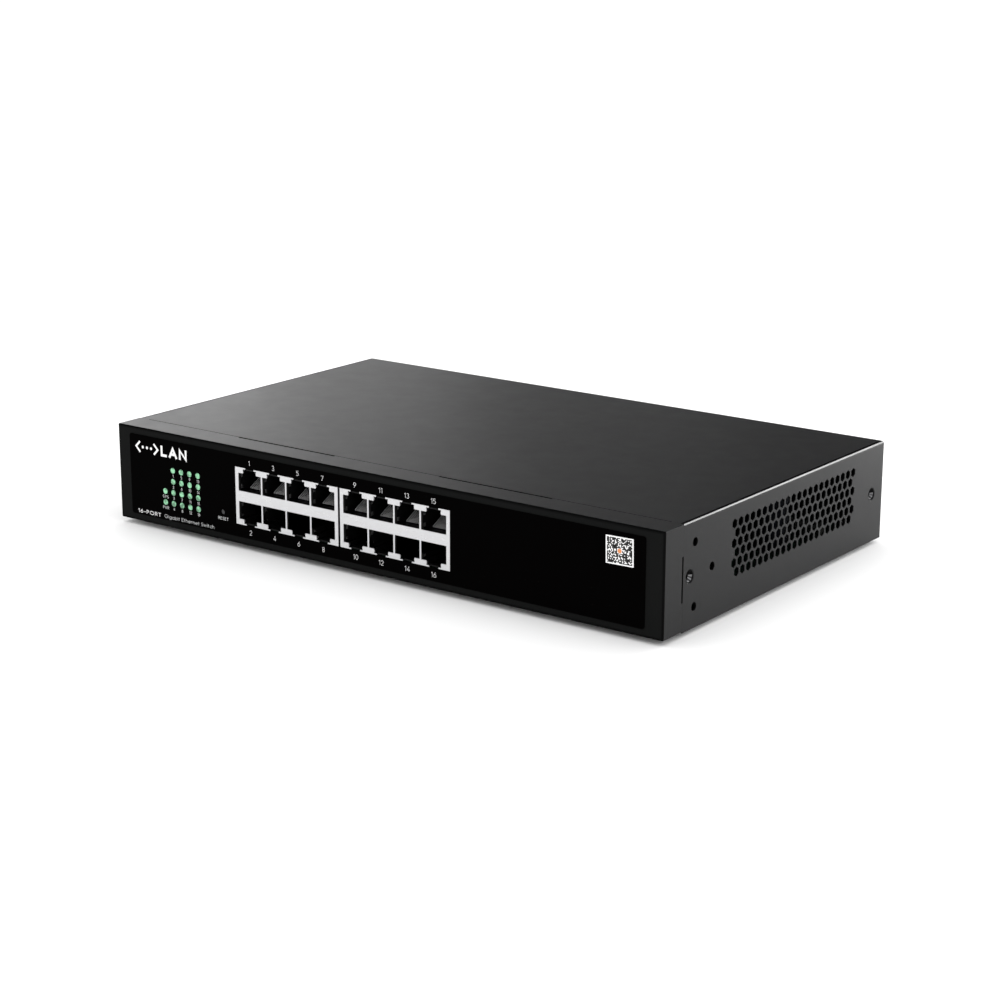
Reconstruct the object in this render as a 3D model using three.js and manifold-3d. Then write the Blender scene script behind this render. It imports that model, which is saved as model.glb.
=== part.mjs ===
// Desktop network switch: sixteen stacked RJ45 ports in two blocks, a folded sheet-steel case,
// a main board, an internal mains supply with a C14 inlet, and a sprung reset button.
// Millimetres, +Z up, +X to the right of the front panel, +Y towards the rear.
// Origin: centre of the bounding box, on the plane of the four rubber feet.
import * as THREE from "three";
import { mergeVertices } from "three/addons/utils/BufferGeometryUtils.js";
import Module from "manifold-3d";

const wasm = await Module();
wasm.setup();

// ---------------------------------------------------------------- driving dimensions
const CASE_W = 294; // width of the steel case
const CASE_D = 180; // depth of the steel case, front sheet to rear sheet
const CASE_H = 44; // height of the cover's side walls, one rack unit
const SHEET = 0.8; // steel sheet
const FOOT_H = 2.5; // rubber foot height
const FRONT_PROUD = 0.42; // the code label's face stands this far in front of the front sheet
const SHIELD_PROUD = 0.35; // the jack shields' faces, just ahead of the front film
const REAR_PROUD = 2.2; // inlet flange and earth screw stand this far behind the rear sheet
const TRAY_LIFT = -0.1; // height of the tray's underside, from the same datum as every other height
const COVER_DROP = 0.35; // the cover's walls reach this far below the datum, past the tray's underside
const LIP = 13.5; // depth of the tray's front lips on the top and the sides
const GAP = 0.1; // play between touching pieces
const HALF = CASE_W / 2;
const YF = -(CASE_D + FRONT_PROUD + REAR_PROUD) / 2 + FRONT_PROUD; // front sheet's outer face

const JACK_PITCH = 13.97; // port to port
const JACK_W = 58.75; // one block of four columns
const JACK_Z0 = 9.0; // underside of a block above the case's lower edge
const JACK_Z1 = 35.1;
const JACK_D = 25.4; // depth of a block behind the front sheet
const JACK_CENTRES = [-45.69, 14.165];
const CAVITY_D = 14.2; // depth of a port's cavity behind the front sheet
const SHIELD_T = 0.3;
const FLOOR_UP = 24.5; // upper port: lower edge of the mouth
const PORT_HALF = 6.55; // half width of a mouth in the shield
const CAVITY_HALF = 6.0; // half width of the plastic cavity behind it
const CEIL_UP = 32.45; // upper port: top of the wide part of the mouth
const LATCH1_HALF = 3.85;
const LATCH1_TOP = 34.35;
const LATCH2_HALF = 2.45;
const MID_Z = (JACK_Z0 + JACK_Z1) / 2;

const LED_X = [-118.3, -113.22, -108.14, -103.06, -97.98];
const LED_Z = [26.95, 21.83, 16.71, 11.59];
const LED_R = 1.35;
const RESET = { x: -83.3, z: 12.8, r: 1.25 };

const OVERLAY = { x0: -139.7, x1: 138.4, z0: 3.2, z1: 40.6, t: 0.25, r: 1.2 };
const LABEL = { x: 126.5, z: 32.9, w: 12.9, h: 11.4, t: 0.12, tilt: 1.2 };

const PCB = { x0: -141, x1: 52, y0: 2, y1: 112, z0: 7.2, z1: 8.8 };
const PCB_SCREWS = [[-134, 9], [-134, 104], [46, 104], [47.8, 33]];
const PSU = { x0: 62, x1: 142, y0: 66, y1: 166, z0: 7.2, z1: 8.8 };
const PSU_SCREWS = [[66.5, 71], [137.5, 161.5], [66.5, 161.5], [137.5, 71]];

const VENT = { pitch: 4.76, flats: 3.5, y0: 51.9, z0: 35.5, rows: 6, cols: 22 };
const SIDE_SCREWS = [[18.4, 21.75], [170.1, 21.75]];
const EAR_HOLES = [[22, 35], [35.1, 21.9], [22, 8.5]];
const EAR_R = 1.8;

const INLET = { x: 104, z: 22, cav_w: 24.6, cav_h: 16.8, cav_d: 17, cham: 5 };
const EARTH_SCREW = { x: 72, z: 22 };
const LOCK = { x: -112, z: 22, w: 7, h: 3 };

// ---------------------------------------------------------------- helpers
const Y = (y) => YF + y; // y from the front sheet's face to the part's frame
const Z = (z) => FOOT_H + z; // z from the case's lower edge to the part's frame

function solid(geometry) {
  let g = geometry.index ? geometry.toNonIndexed() : geometry.clone();
  const bare = new THREE.BufferGeometry().setAttribute("position", g.getAttribute("position"));
  const m = mergeVertices(bare, 1e-4);
  return new wasm.Manifold(
    new wasm.Mesh({ numProp: 3, vertProperties: m.attributes.position.array, triVerts: new Uint32Array(m.index.array) }),
  );
}
function geometryOf(s) {
  const m = s.getMesh();
  const v = new Float32Array(m.numVert * 3);
  for (let i = 0; i < m.numVert; i++) v.set(m.vertProperties.subarray(i * m.numProp, i * m.numProp + 3), i * 3);
  const g = new THREE.BufferGeometry();
  g.setAttribute("position", new THREE.BufferAttribute(v, 3));
  g.setIndex(new THREE.BufferAttribute(m.triVerts, 1));
  const flat = g.toNonIndexed();
  flat.computeVertexNormals();
  return flat;
}
const boxGeo = (x0, x1, y0, y1, z0, z1) =>
  new THREE.BoxGeometry(x1 - x0, y1 - y0, z1 - z0).translate((x0 + x1) / 2, (y0 + y1) / 2, (z0 + z1) / 2);
const box = (...a) => solid(boxGeo(...a));
// A box given in case coordinates: x, y from the front sheet, z from the case's lower edge.
const cbox = (x0, x1, y0, y1, z0, z1) => box(x0, x1, Y(y0), Y(y1), Z(z0), Z(z1));
function cylGeo(axis, r0, r1, a0, a1, u, v, seg = 16) {
  const g = new THREE.CylinderGeometry(r1, r0, a1 - a0, seg, 1);
  if (axis === "z") g.rotateX(Math.PI / 2).translate(u, v, (a0 + a1) / 2);
  else if (axis === "x") g.rotateZ(-Math.PI / 2).translate((a0 + a1) / 2, u, v);
  else g.translate(u, (a0 + a1) / 2, v);
  return g;
}
const cyl = (...a) => solid(cylGeo(...a));
// Extrudes a closed outline. "xz": points are x, z and the run is along y; "yz": points are y, z along x; "xy": along z.
function prism(plane, points, a0, a1) {
  const shape = new THREE.Shape(points.map((p) => new THREE.Vector2(p[0], p[1])));
  const g = new THREE.ExtrudeGeometry(shape, { depth: a1 - a0, bevelEnabled: false });
  const m = new THREE.Matrix4();
  if (plane === "xy") m.set(1, 0, 0, 0, 0, 1, 0, 0, 0, 0, 1, a0, 0, 0, 0, 1);
  else if (plane === "yz") m.set(0, 0, 1, a0, 1, 0, 0, 0, 0, 1, 0, 0, 0, 0, 0, 1);
  else m.set(1, 0, 0, 0, 0, 0, -1, a1, 0, 1, 0, 0, 0, 0, 0, 1);
  return solid(g.applyMatrix4(m));
}
const cprismXZ = (pts, y0, y1) => prism("xz", pts.map((p) => [p[0], Z(p[1])]), Y(y0), Y(y1));
function roundRect(x0, x1, y0, y1, r, n = 3) {
  const pts = [];
  for (const [cx, cy, a] of [[x1 - r, y0 + r, -90], [x1 - r, y1 - r, 0], [x0 + r, y1 - r, 90], [x0 + r, y0 + r, 180]])
    for (let i = 0; i <= n; i++) {
      const t = ((a + (90 * i) / n) * Math.PI) / 180;
      pts.push([cx + r * Math.cos(t), cy + r * Math.sin(t)]);
    }
  return pts;
}
const join = (...s) => s.flat().reduce((a, b) => a.add(b));
const cut = (a, ...s) => s.flat().reduce((x, y) => x.subtract(y), a);

const MAT = {
  paint_black: new THREE.MeshStandardMaterial({ color: 0x232324, roughness: 0.55, metalness: 0.1 }),
  film_black: new THREE.MeshStandardMaterial({ color: 0x050505, roughness: 0.18, metalness: 0 }),
  label_white: new THREE.MeshStandardMaterial({ color: 0xeeeeee, roughness: 0.6, metalness: 0 }),
  screw_black: new THREE.MeshStandardMaterial({ color: 0x2a2a2c, roughness: 0.35, metalness: 0.8 }),
  zinc: new THREE.MeshStandardMaterial({ color: 0xb8bcc0, roughness: 0.3, metalness: 1 }),
  rubber: new THREE.MeshStandardMaterial({ color: 0x161616, roughness: 0.9, metalness: 0 }),
  board_green: new THREE.MeshStandardMaterial({ color: 0x0c4a2a, roughness: 0.45, metalness: 0 }),
  board_brown: new THREE.MeshStandardMaterial({ color: 0xb08a4a, roughness: 0.6, metalness: 0 }),
  shield: new THREE.MeshStandardMaterial({ color: 0xdedee0, roughness: 0.28, metalness: 0.9 }),
  nylon_black: new THREE.MeshStandardMaterial({ color: 0x111112, roughness: 0.5, metalness: 0 }),
  contact: new THREE.MeshStandardMaterial({ color: 0xc8b070, roughness: 0.3, metalness: 1 }),
  pipe: new THREE.MeshStandardMaterial({ color: 0xa6e6b8, roughness: 0.25, metalness: 0 }),
  button_grey: new THREE.MeshStandardMaterial({ color: 0x38383a, roughness: 0.6, metalness: 0 }),
  chip: new THREE.MeshStandardMaterial({ color: 0x18181a, roughness: 0.7, metalness: 0 }),
  anodised: new THREE.MeshStandardMaterial({ color: 0x26272b, roughness: 0.45, metalness: 0.7 }),
  aluminium: new THREE.MeshStandardMaterial({ color: 0xb4b6b9, roughness: 0.4, metalness: 1 }),
  tape: new THREE.MeshStandardMaterial({ color: 0xe2b42a, roughness: 0.5, metalness: 0 }),
  sleeve: new THREE.MeshStandardMaterial({ color: 0x1b2a44, roughness: 0.4, metalness: 0 }),
  film_clear: new THREE.MeshStandardMaterial({ color: 0xd8d4c4, roughness: 0.3, metalness: 0 }),
  brass: new THREE.MeshStandardMaterial({ color: 0xc9c3b4, roughness: 0.3, metalness: 1 }),
  ceramic: new THREE.MeshStandardMaterial({ color: 0xe8e6df, roughness: 0.4, metalness: 0 }),
  wire: new THREE.MeshStandardMaterial({ color: 0x8a1c1c, roughness: 0.6, metalness: 0 }),
};

const device = new THREE.Group();
const group = (parent) => { const g = new THREE.Group(); parent.add(g); return g; };
const casing = group(device), jacks = group(device), board = group(device), supply = group(device);
function mesh(parent, name, made, material, position, rotation) {
  const geometry = made instanceof THREE.BufferGeometry ? made : geometryOf(made);
  const m = new THREE.Mesh(geometry, material);
  m.name = name;
  if (position) m.position.set(...position);
  if (rotation) m.rotation.set(...rotation);
  parent.add(m);
  return m;
}

// ---------------------------------------------------------------- ports: shared outlines
// Mouth outline of an upper port, about its own centre line, z from the case's lower edge.
function mouthUp(grow = 0, top = JACK_Z1 + 1, half = PORT_HALF) {
  const w = half + grow, a = LATCH1_HALF + grow, b = LATCH2_HALF + grow;
  return [
    [-w, FLOOR_UP - grow], [w, FLOOR_UP - grow], [w, CEIL_UP + grow], [a, CEIL_UP + grow], [a, LATCH1_TOP + grow],
    [b, LATCH1_TOP + grow], [b, top], [-b, top], [-b, LATCH1_TOP + grow], [-a, LATCH1_TOP + grow], [-a, CEIL_UP + grow], [-w, CEIL_UP + grow],
  ];
}
const flipZ = (pts) => pts.map(([x, z]) => [x, 2 * MID_Z - z]).reverse();
const shiftX = (pts, dx) => pts.map(([x, z]) => [x + dx, z]);
const columns = (c) => [-1.5, -0.5, 0.5, 1.5].map((k) => c + k * JACK_PITCH);

// ---------------------------------------------------------------- tray with front panel
{
  const z0 = TRAY_LIFT;
  const inner = HALF - SHEET - 0.2;
  let s = join(
    cbox(-HALF, HALF, 0, SHEET, z0, CASE_H), // front panel
    cbox(-HALF, HALF, 0, LIP, z0, z0 + SHEET), // floor under the lips
    cbox(-HALF, HALF, 0, LIP, CASE_H - SHEET, CASE_H), // top lip
    cbox(-HALF, -HALF + SHEET, 0, LIP, z0, CASE_H), // side lips
    cbox(HALF - SHEET, HALF, 0, LIP, z0, CASE_H),
    cbox(-inner, inner, 0, CASE_D, z0, z0 + SHEET), // floor
    cbox(-inner, inner, CASE_D - SHEET, CASE_D, z0, CASE_H - SHEET - 0.2), // rear panel
    cbox(-inner + 2, inner - 2, CASE_D - 9, CASE_D, CASE_H - 2 * SHEET - 0.2, CASE_H - SHEET - 0.2), // rear top return
  );
  for (const m of [-1, 1]) {
    const side = (y0, y1, zt) => {
      const [a, b] = m < 0 ? [-144.8, -144] : [144, 144.8];
      return cbox(a, b, y0, y1, z0, zt);
    };
    s = join(s, side(14.6, 44, 41), side(44, 160, 8), side(160, CASE_D, 41));
  }
  // round the folds of the front end
  const outer = join(
    prism("xy", roundRect(-HALF, HALF, Y(0), Y(CASE_D + 20), 0.5), Z(-5), Z(CASE_H + 5)),
  ).intersect(prism("yz", roundRect(Y(0), Y(CASE_D + 20), Z(z0), Z(CASE_H + 0), 0.5), -HALF - 5, HALF + 5));
  s = s.intersect(outer);
  // relief notches that show as the dark stretches of the seam
  s = cut(s,
    cbox(-85, -29.2, LIP - 0.8, LIP + 1, CASE_H - 2, CASE_H + 1),
    cbox(27.6, 85, LIP - 0.8, LIP + 1, CASE_H - 2, CASE_H + 1),
    cbox(-HALF - 1, -HALF + 2, LIP - 0.7, LIP + 1, 12, 31),
    cbox(HALF - 2, HALF + 1, LIP - 0.7, LIP + 1, 12, 31),
    cbox(JACK_CENTRES[0] - JACK_W / 2 - 0.25, JACK_CENTRES[1] + JACK_W / 2 + 0.25, -1, 3, JACK_Z0 - 0.25, JACK_Z1 + 0.25),
    cyl("y", RESET.r + 0.05, RESET.r + 0.05, Y(-1), Y(3), RESET.x, Z(RESET.z), 12),
  );
  LED_X.forEach((x, i) => LED_Z.slice(i ? 0 : 2).forEach((z) => { s = cut(s, cyl("y", LED_R + 0.3, LED_R + 0.3, Y(-1), Y(3), x, Z(z), 8)); }));
  // bosses for the boards
  for (const [x, y] of [...PCB_SCREWS, ...PSU_SCREWS])
    s = cut(join(s, cyl("z", 4.2, 3.2, Z(z0 + 0.4), Z(PCB.z0 - 0.05), x, Y(y), 8)), cyl("z", 1.35, 1.35, Z(z0 - 1), Z(PCB.z0 + 1), x, Y(y), 8));
  // threaded holes behind the cover's screws and the rack-ear holes
  for (const [y, z] of SIDE_SCREWS) s = cut(s, cyl("x", 1.4, 1.4, -150, 150, Y(y), Z(z), 10));
  for (const [y, z] of EAR_HOLES) s = cut(s, cyl("x", EAR_R, EAR_R, -150, 150, Y(y), Z(z), 10));
  // rear panel: inlet, earth screw, lock slot
  s = cut(s,
    cbox(INLET.x - 13.9, INLET.x + 13.9, CASE_D - 3, CASE_D + 2, INLET.z - 10.1, INLET.z + 10.1),
    cyl("y", 2.1, 2.1, Y(CASE_D - 3), Y(CASE_D + 2), EARTH_SCREW.x, Z(EARTH_SCREW.z), 12),
    prism("xz", roundRect(LOCK.x - LOCK.w / 2, LOCK.x + LOCK.w / 2, Z(LOCK.z - LOCK.h / 2), Z(LOCK.z + LOCK.h / 2), 1), Y(CASE_D - 3), Y(CASE_D + 2)),
  );
  mesh(casing, "chassis_tray", s, MAT.paint_black);
}

// ---------------------------------------------------------------- cover
{
  const r = 1.0, t = SHEET, n = 4;
  const arc = (cx, cz, rad, a0, a1) => Array.from({ length: n + 1 }, (_, i) => {
    const a = ((a0 + ((a1 - a0) * i) / n) * Math.PI) / 180;
    return [cx + rad * Math.cos(a), cz + rad * Math.sin(a)];
  });
  const outline = [
    [HALF, -COVER_DROP], ...arc(HALF - r, CASE_H - r, r, 0, 90), ...arc(-HALF + r, CASE_H - r, r, 90, 180), [-HALF, -COVER_DROP],
    [-HALF + t, -COVER_DROP], ...arc(-HALF + r, CASE_H - r, r - t, 180, 90), ...arc(HALF - r, CASE_H - r, r - t, 90, 0), [HALF - t, -COVER_DROP],
  ];
  let s = cprismXZ(outline, LIP + GAP, CASE_D);
  s = cut(s, cbox(-141, 141, 10, LIP + 0.4, 40, CASE_H + 1));
  // tongues that hook under the tray's top lip
  for (const [a, b] of [[-139, -87], [-27.5, 25.5], [87, 139]])
    s = join(s, cbox(a, b, 8.5, 15.6, CASE_H - 2 * t - 0.25, CASE_H - t - 0.25), cbox(a, b, 14.4, 15.6, CASE_H - 2 * t - 0.25, CASE_H - t / 2));
  // formed dimples for the countersunk screws
  for (const m of [-1, 1])
    for (const [y, z] of SIDE_SCREWS) {
      const X = (d) => m * (HALF - d);
      const cone = (d0, r0, d1, r1, seg = 16) => m > 0 ? cyl("x", r1, r0, X(d1), X(d0), Y(y), Z(z), seg) : cyl("x", r0, r1, X(d0), X(d1), Y(y), Z(z), seg);
      s = join(s, cone(0.4, 3.5, 2.0, 2.3));
      s = cut(s, cone(-0.01, 2.98, 1.5, 1.7), cone(-0.5, 1.7, 4, 1.7));
    }
  for (const [y, z] of EAR_HOLES) s = cut(s, cyl("x", EAR_R, EAR_R, -HALF - 2, HALF + 2, Y(y), Z(z), 12));
  // hexagonal vents, through both side walls
  const R = VENT.flats / Math.sqrt(3), rowStep = (VENT.pitch * Math.sqrt(3)) / 2;
  for (let row = 0; row < VENT.rows; row++)
    for (let c = 0; c < VENT.cols - (row % 2); c++) {
      const y = VENT.y0 + (c + (row % 2) / 2) * VENT.pitch, z = VENT.z0 - row * rowStep;
      const hex = Array.from({ length: 6 }, (_, i) => [Y(y) + R * Math.sin((i * Math.PI) / 3), Z(z) + R * Math.cos((i * Math.PI) / 3)]).reverse();
      s = s.subtract(prism("yz", hex, -HALF - 2, HALF + 2));
    }
  mesh(casing, "top_cover", s, MAT.paint_black);
}

// ---------------------------------------------------------------- front film and code label
{
  const o = OVERLAY;
  let s = prism("xz", roundRect(o.x0, o.x1, Z(o.z0), Z(o.z1), o.r), Y(-o.t - 0.03), Y(-0.03));
  s = cut(s, cbox(JACK_CENTRES[0] - JACK_W / 2 - 0.15, JACK_CENTRES[1] + JACK_W / 2 + 0.15, -2, 1, JACK_Z0 - 0.15, JACK_Z1 + 0.15),
    cyl("y", RESET.r, RESET.r, Y(-1), Y(1), RESET.x, Z(RESET.z), 12));
  LED_X.forEach((x, i) => LED_Z.slice(i ? 0 : 2).forEach((z) => { s = cut(s, cyl("y", LED_R + 0.14, LED_R + 0.14, Y(-1), Y(1), x, Z(z), 10)); }));
  mesh(casing, "front_overlay", s, MAT.film_black);
  const l = LABEL;
  mesh(casing, "code_label", boxGeo(-l.w / 2, l.w / 2, -l.t, 0, -l.h / 2, l.h / 2), MAT.label_white,
    [l.x, Y(-o.t - 0.05), Z(l.z)], [0, (-l.tilt * Math.PI) / 180, 0]);
}

// ---------------------------------------------------------------- screws and feet
// A screw stands on its own origin: the head's top at z = 0, the shank towards -z.
function crossRecess(size, depth) {
  return join(box(-size / 2, size / 2, -size / 7, size / 7, -depth, 1), box(-size / 7, size / 7, -size / 2, size / 2, -depth, 1));
}
// The cover's screws have a dished head with a small cross at the bottom of the dish.
const flatScrew = cut(
  join(cyl("z", 1.2, 2.7, -1.45, 0, 0, 0, 16), cyl("z", 1.2, 1.2, -6, -1.3, 0, 0, 8)),
  cyl("z", 0.95, 2.5, -1.1, 0.02, 0, 0, 16), crossRecess(1.6, 1.9));
for (const [side, m] of [["left", -1], ["right", 1]])
  SIDE_SCREWS.forEach(([y, z], i) =>
    mesh(casing, `cover_screw_${side}_${i ? "rear" : "front"}`, flatScrew, MAT.screw_black,
      [m * (HALF - 0.25), Y(y), Z(z)], [0, (m * Math.PI) / 2, 0]));
const panScrew = (headR, headH, shankR, length) => cut(
  join(cyl("z", headR, headR * 0.82, 0, headH, 0, 0, 12), cyl("z", shankR, shankR, -length, 0.2, 0, 0, 8)),
  join(box(-headR * 0.55, headR * 0.55, -headR * 0.16, headR * 0.16, headH - 0.9, headH + 1), box(-headR * 0.16, headR * 0.16, -headR * 0.55, headR * 0.55, headH - 0.9, headH + 1)));
mesh(casing, "ground_screw", panScrew(3.4, REAR_PROUD - 0.05, 1.8, 7), MAT.zinc, [EARTH_SCREW.x, Y(CASE_D + 0.05), Z(EARTH_SCREW.z)], [-Math.PI / 2, 0, 0]);
PCB_SCREWS.forEach(([x, y], i) => mesh(board, `pcb_screw_${i + 1}`, panScrew(2.8, 1.9, 1.1, 5.4), MAT.zinc, [x, Y(y), Z(PCB.z1 + 0.05)]));
PSU_SCREWS.slice(0, 2).forEach(([x, y], i) => mesh(supply, `psu_screw_${i + 1}`, panScrew(2.8, 1.9, 1.1, 5.4), MAT.zinc, [x, Y(y), Z(PSU.z1 + 0.05)]));
const footProfile = [[0, 0], [5.2, 0], [6, 0.5], [6.2, FOOT_H + TRAY_LIFT - 0.05], [0, FOOT_H + TRAY_LIFT - 0.05]];
const footGeo = new THREE.LatheGeometry(footProfile.map((p) => new THREE.Vector2(p[0], p[1])), 24).rotateX(Math.PI / 2);
for (const [name, x, y] of [["front_left", -122, 24], ["front_right", 122, 24], ["rear_left", -122, 156], ["rear_right", 122, 156]])
  mesh(casing, `foot_${name}`, solid(footGeo), MAT.rubber, [x, Y(y), 0]);

// ---------------------------------------------------------------- jack blocks
JACK_CENTRES.forEach((c, b) => {
  const name = b ? "right" : "left";
  const x0 = c - JACK_W / 2, x1 = c + JACK_W / 2;
  const yf = -SHIELD_PROUD, t = SHIELD_T;
  // shield: a thin metal box, open at the back and below
  let shield = cut(cbox(x0, x1, yf, JACK_D, JACK_Z0 + 0.05, JACK_Z1),
    cbox(x0 + t, x1 - t, yf + t, JACK_D + 1, JACK_Z0 - 1, JACK_Z1 - t));
  shield = join(shield, cbox(x0, x1, yf, 3, JACK_Z0 + 0.05, JACK_Z0 + 0.05 + t));
  // housing: black plastic block with eight cavities
  const h = t + GAP;
  let housing = cbox(x0 + h, x1 - h, yf + h, JACK_D - 1, JACK_Z0 + 0.05 + h, JACK_Z1 - h);
  for (const x of columns(c)) {
    const up = shiftX(mouthUp(), x), down = flipZ(shiftX(mouthUp(), x));
    shield = cut(shield, cprismXZ(up, yf - 1, yf + 3), cprismXZ(down, yf - 1, yf + 3));
    const upIn = shiftX(mouthUp(-0.1, JACK_Z1 - h - 0.7, CAVITY_HALF + 0.1), x);
    housing = cut(housing, cprismXZ(upIn, yf - 1, CAVITY_D), cprismXZ(flipZ(upIn), yf - 1, CAVITY_D));
    // channel behind each pair of cavities that the contact carrier slides into from the rear,
    // with a slot at each cavity's floor for its row of wires
    housing = cut(housing, cbox(x - 5.4, x + 5.4, CAVITY_D + 1.4, JACK_D + 1, 12.2, 32.4),
      cbox(x - 4.1, x + 4.1, CAVITY_D - 1, CAVITY_D + 2, FLOOR_UP + 0.1, FLOOR_UP + 0.9),
      cbox(x - 4.1, x + 4.1, CAVITY_D - 1, CAVITY_D + 2, 2 * MID_Z - FLOOR_UP - 0.9, 2 * MID_Z - FLOOR_UP - 0.1));
  }
  mesh(jacks, `jack_shield_${name}`, shield, MAT.shield);
  mesh(jacks, `jack_housing_${name}`, housing, MAT.nylon_black);
});

// Contact carrier for one column: a plastic block with eight sprung wires above and eight below.
{
  const depth0 = 16, depth1 = JACK_D - 1.2;
  let s = box(-5.2, 5.2, depth0, depth1, 12.4, 32.2);
  for (let i = 0; i < 8; i++) {
    const x = (i - 3.5) * 1.016, w = 0.26;
    // upper port: from the carrier forward along the floor, round the nose, back and up at 25 degrees
    const up = [[17, 24.75], [3.9, 24.75], [10.9, 28.05], [10.9, 27.6], [5.6, 25.1], [17, 25.1]];
    const down = up.map(([y, z]) => [y, 2 * MID_Z - z]);
    s = join(s, prism("yz", up, x - w, x + w), prism("yz", down.slice().reverse(), x - w, x + w));
  }
  JACK_CENTRES.forEach((c, b) => columns(c).forEach((x, k) => {
    const n = b * 8 + k * 2 + 1, two = (v) => String(v).padStart(2, "0");
    mesh(jacks, `contact_insert_${two(n)}_${two(n + 1)}`, s, MAT.contact, [x, Y(0), Z(0)]);
  }));
}

// ---------------------------------------------------------------- main board and what stands on it
{
  const p = PCB;
  let s = cbox(p.x0, p.x1, p.y0, p.y1, p.z0, p.z1);
  for (const [x, y] of PCB_SCREWS) s = cut(s, cyl("z", 1.7, 1.7, Z(p.z0 - 1), Z(p.z1 + 1), x, Y(y), 8));
  mesh(board, "main_pcb", s, MAT.board_green);

  // light pipes: clear fingers that carry the board's indicator light to the front
  LED_X.forEach((x, i) => {
    const rows = LED_Z.slice(i ? 0 : 2);
    let pipe = cbox(-1.1, 1.1, 5.9, 10, p.z1 + 1.2, rows[0] + 1.45);
    for (const z of rows) pipe = join(pipe, cyl("y", LED_R, LED_R, Y(-OVERLAY.t - 0.05), Y(6.5), 0, Z(z), 10));
    mesh(board, i ? `light_pipe_ports_${String(4 * i - 3).padStart(2, "0")}_${String(4 * i).padStart(2, "0")}` : "light_pipe_status", pipe, MAT.pipe, [x, 0, 0]);
  });
  let holder = cbox(LED_X[0] - 3, LED_X[4] + 3, 1.0, 5.6, p.z1 + 0.1, 29.6);
  LED_X.forEach((x, i) => {
    const rows = LED_Z.slice(i ? 0 : 2);
    holder = cut(holder, cbox(x - LED_R - 0.15, x + LED_R + 0.15, 0, 8, p.z1 + 1.2, rows[0] + LED_R + 0.15));
  });
  holder = join(holder, cbox(LED_X[0] - 3, LED_X[4] + 3, 1.0, 5.6, p.z1 + 0.1, p.z1 + 1.1));
  mesh(board, "light_pipe_holder", holder, MAT.nylon_black);

  // side-push reset switch: its axis is 4 mm above the board
  let body = cbox(RESET.x - 3, RESET.x + 3, 4.4, 8.4, p.z1 + 0.1, p.z1 + 7.2);
  body = cut(body, cyl("y", 1.9, 1.9, Y(4), Y(6.6), RESET.x, Z(RESET.z), 16));
  mesh(board, "reset_switch_body", body, MAT.nylon_black);
  const plunger = join(cyl("y", 1.1, 1.1, 0.15, 5.4, 0, 0, 16), cyl("y", 1.7, 1.7, 4.7, 6.0, 0, 0, 16));
  mesh(board, "reset_button", plunger, MAT.button_grey, [RESET.x, Y(0), Z(RESET.z)]);

  // switch chip under its heat sink
  mesh(board, "switch_chip", cbox(-46, -26, 66, 86, p.z1 + 0.1, p.z1 + 2.3), MAT.chip);
  let sink = cbox(-56, -16, 56, 96, p.z1 + 2.4, p.z1 + 4.9);
  for (let i = 0; i < 9; i++) sink = join(sink, cbox(-56 + i * 4.85, -56 + i * 4.85 + 1.2, 56, 96, p.z1 + 4.5, p.z1 + 16));
  mesh(board, "chip_heatsink", sink, MAT.anodised);

  // four-port magnetics behind the jacks
  const lan = join(box(-13.8, 13.8, -7, 7, 0.6, 6.6), box(-13.2, 13.2, -9.2, 9.2, 0, 0.8));
  [-60, -32, 0, 28].forEach((x, i) => mesh(board, `lan_transformer_${i + 1}`, lan, MAT.chip, [x, Y(40), Z(p.z1 + 0.1)]));
}

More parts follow.
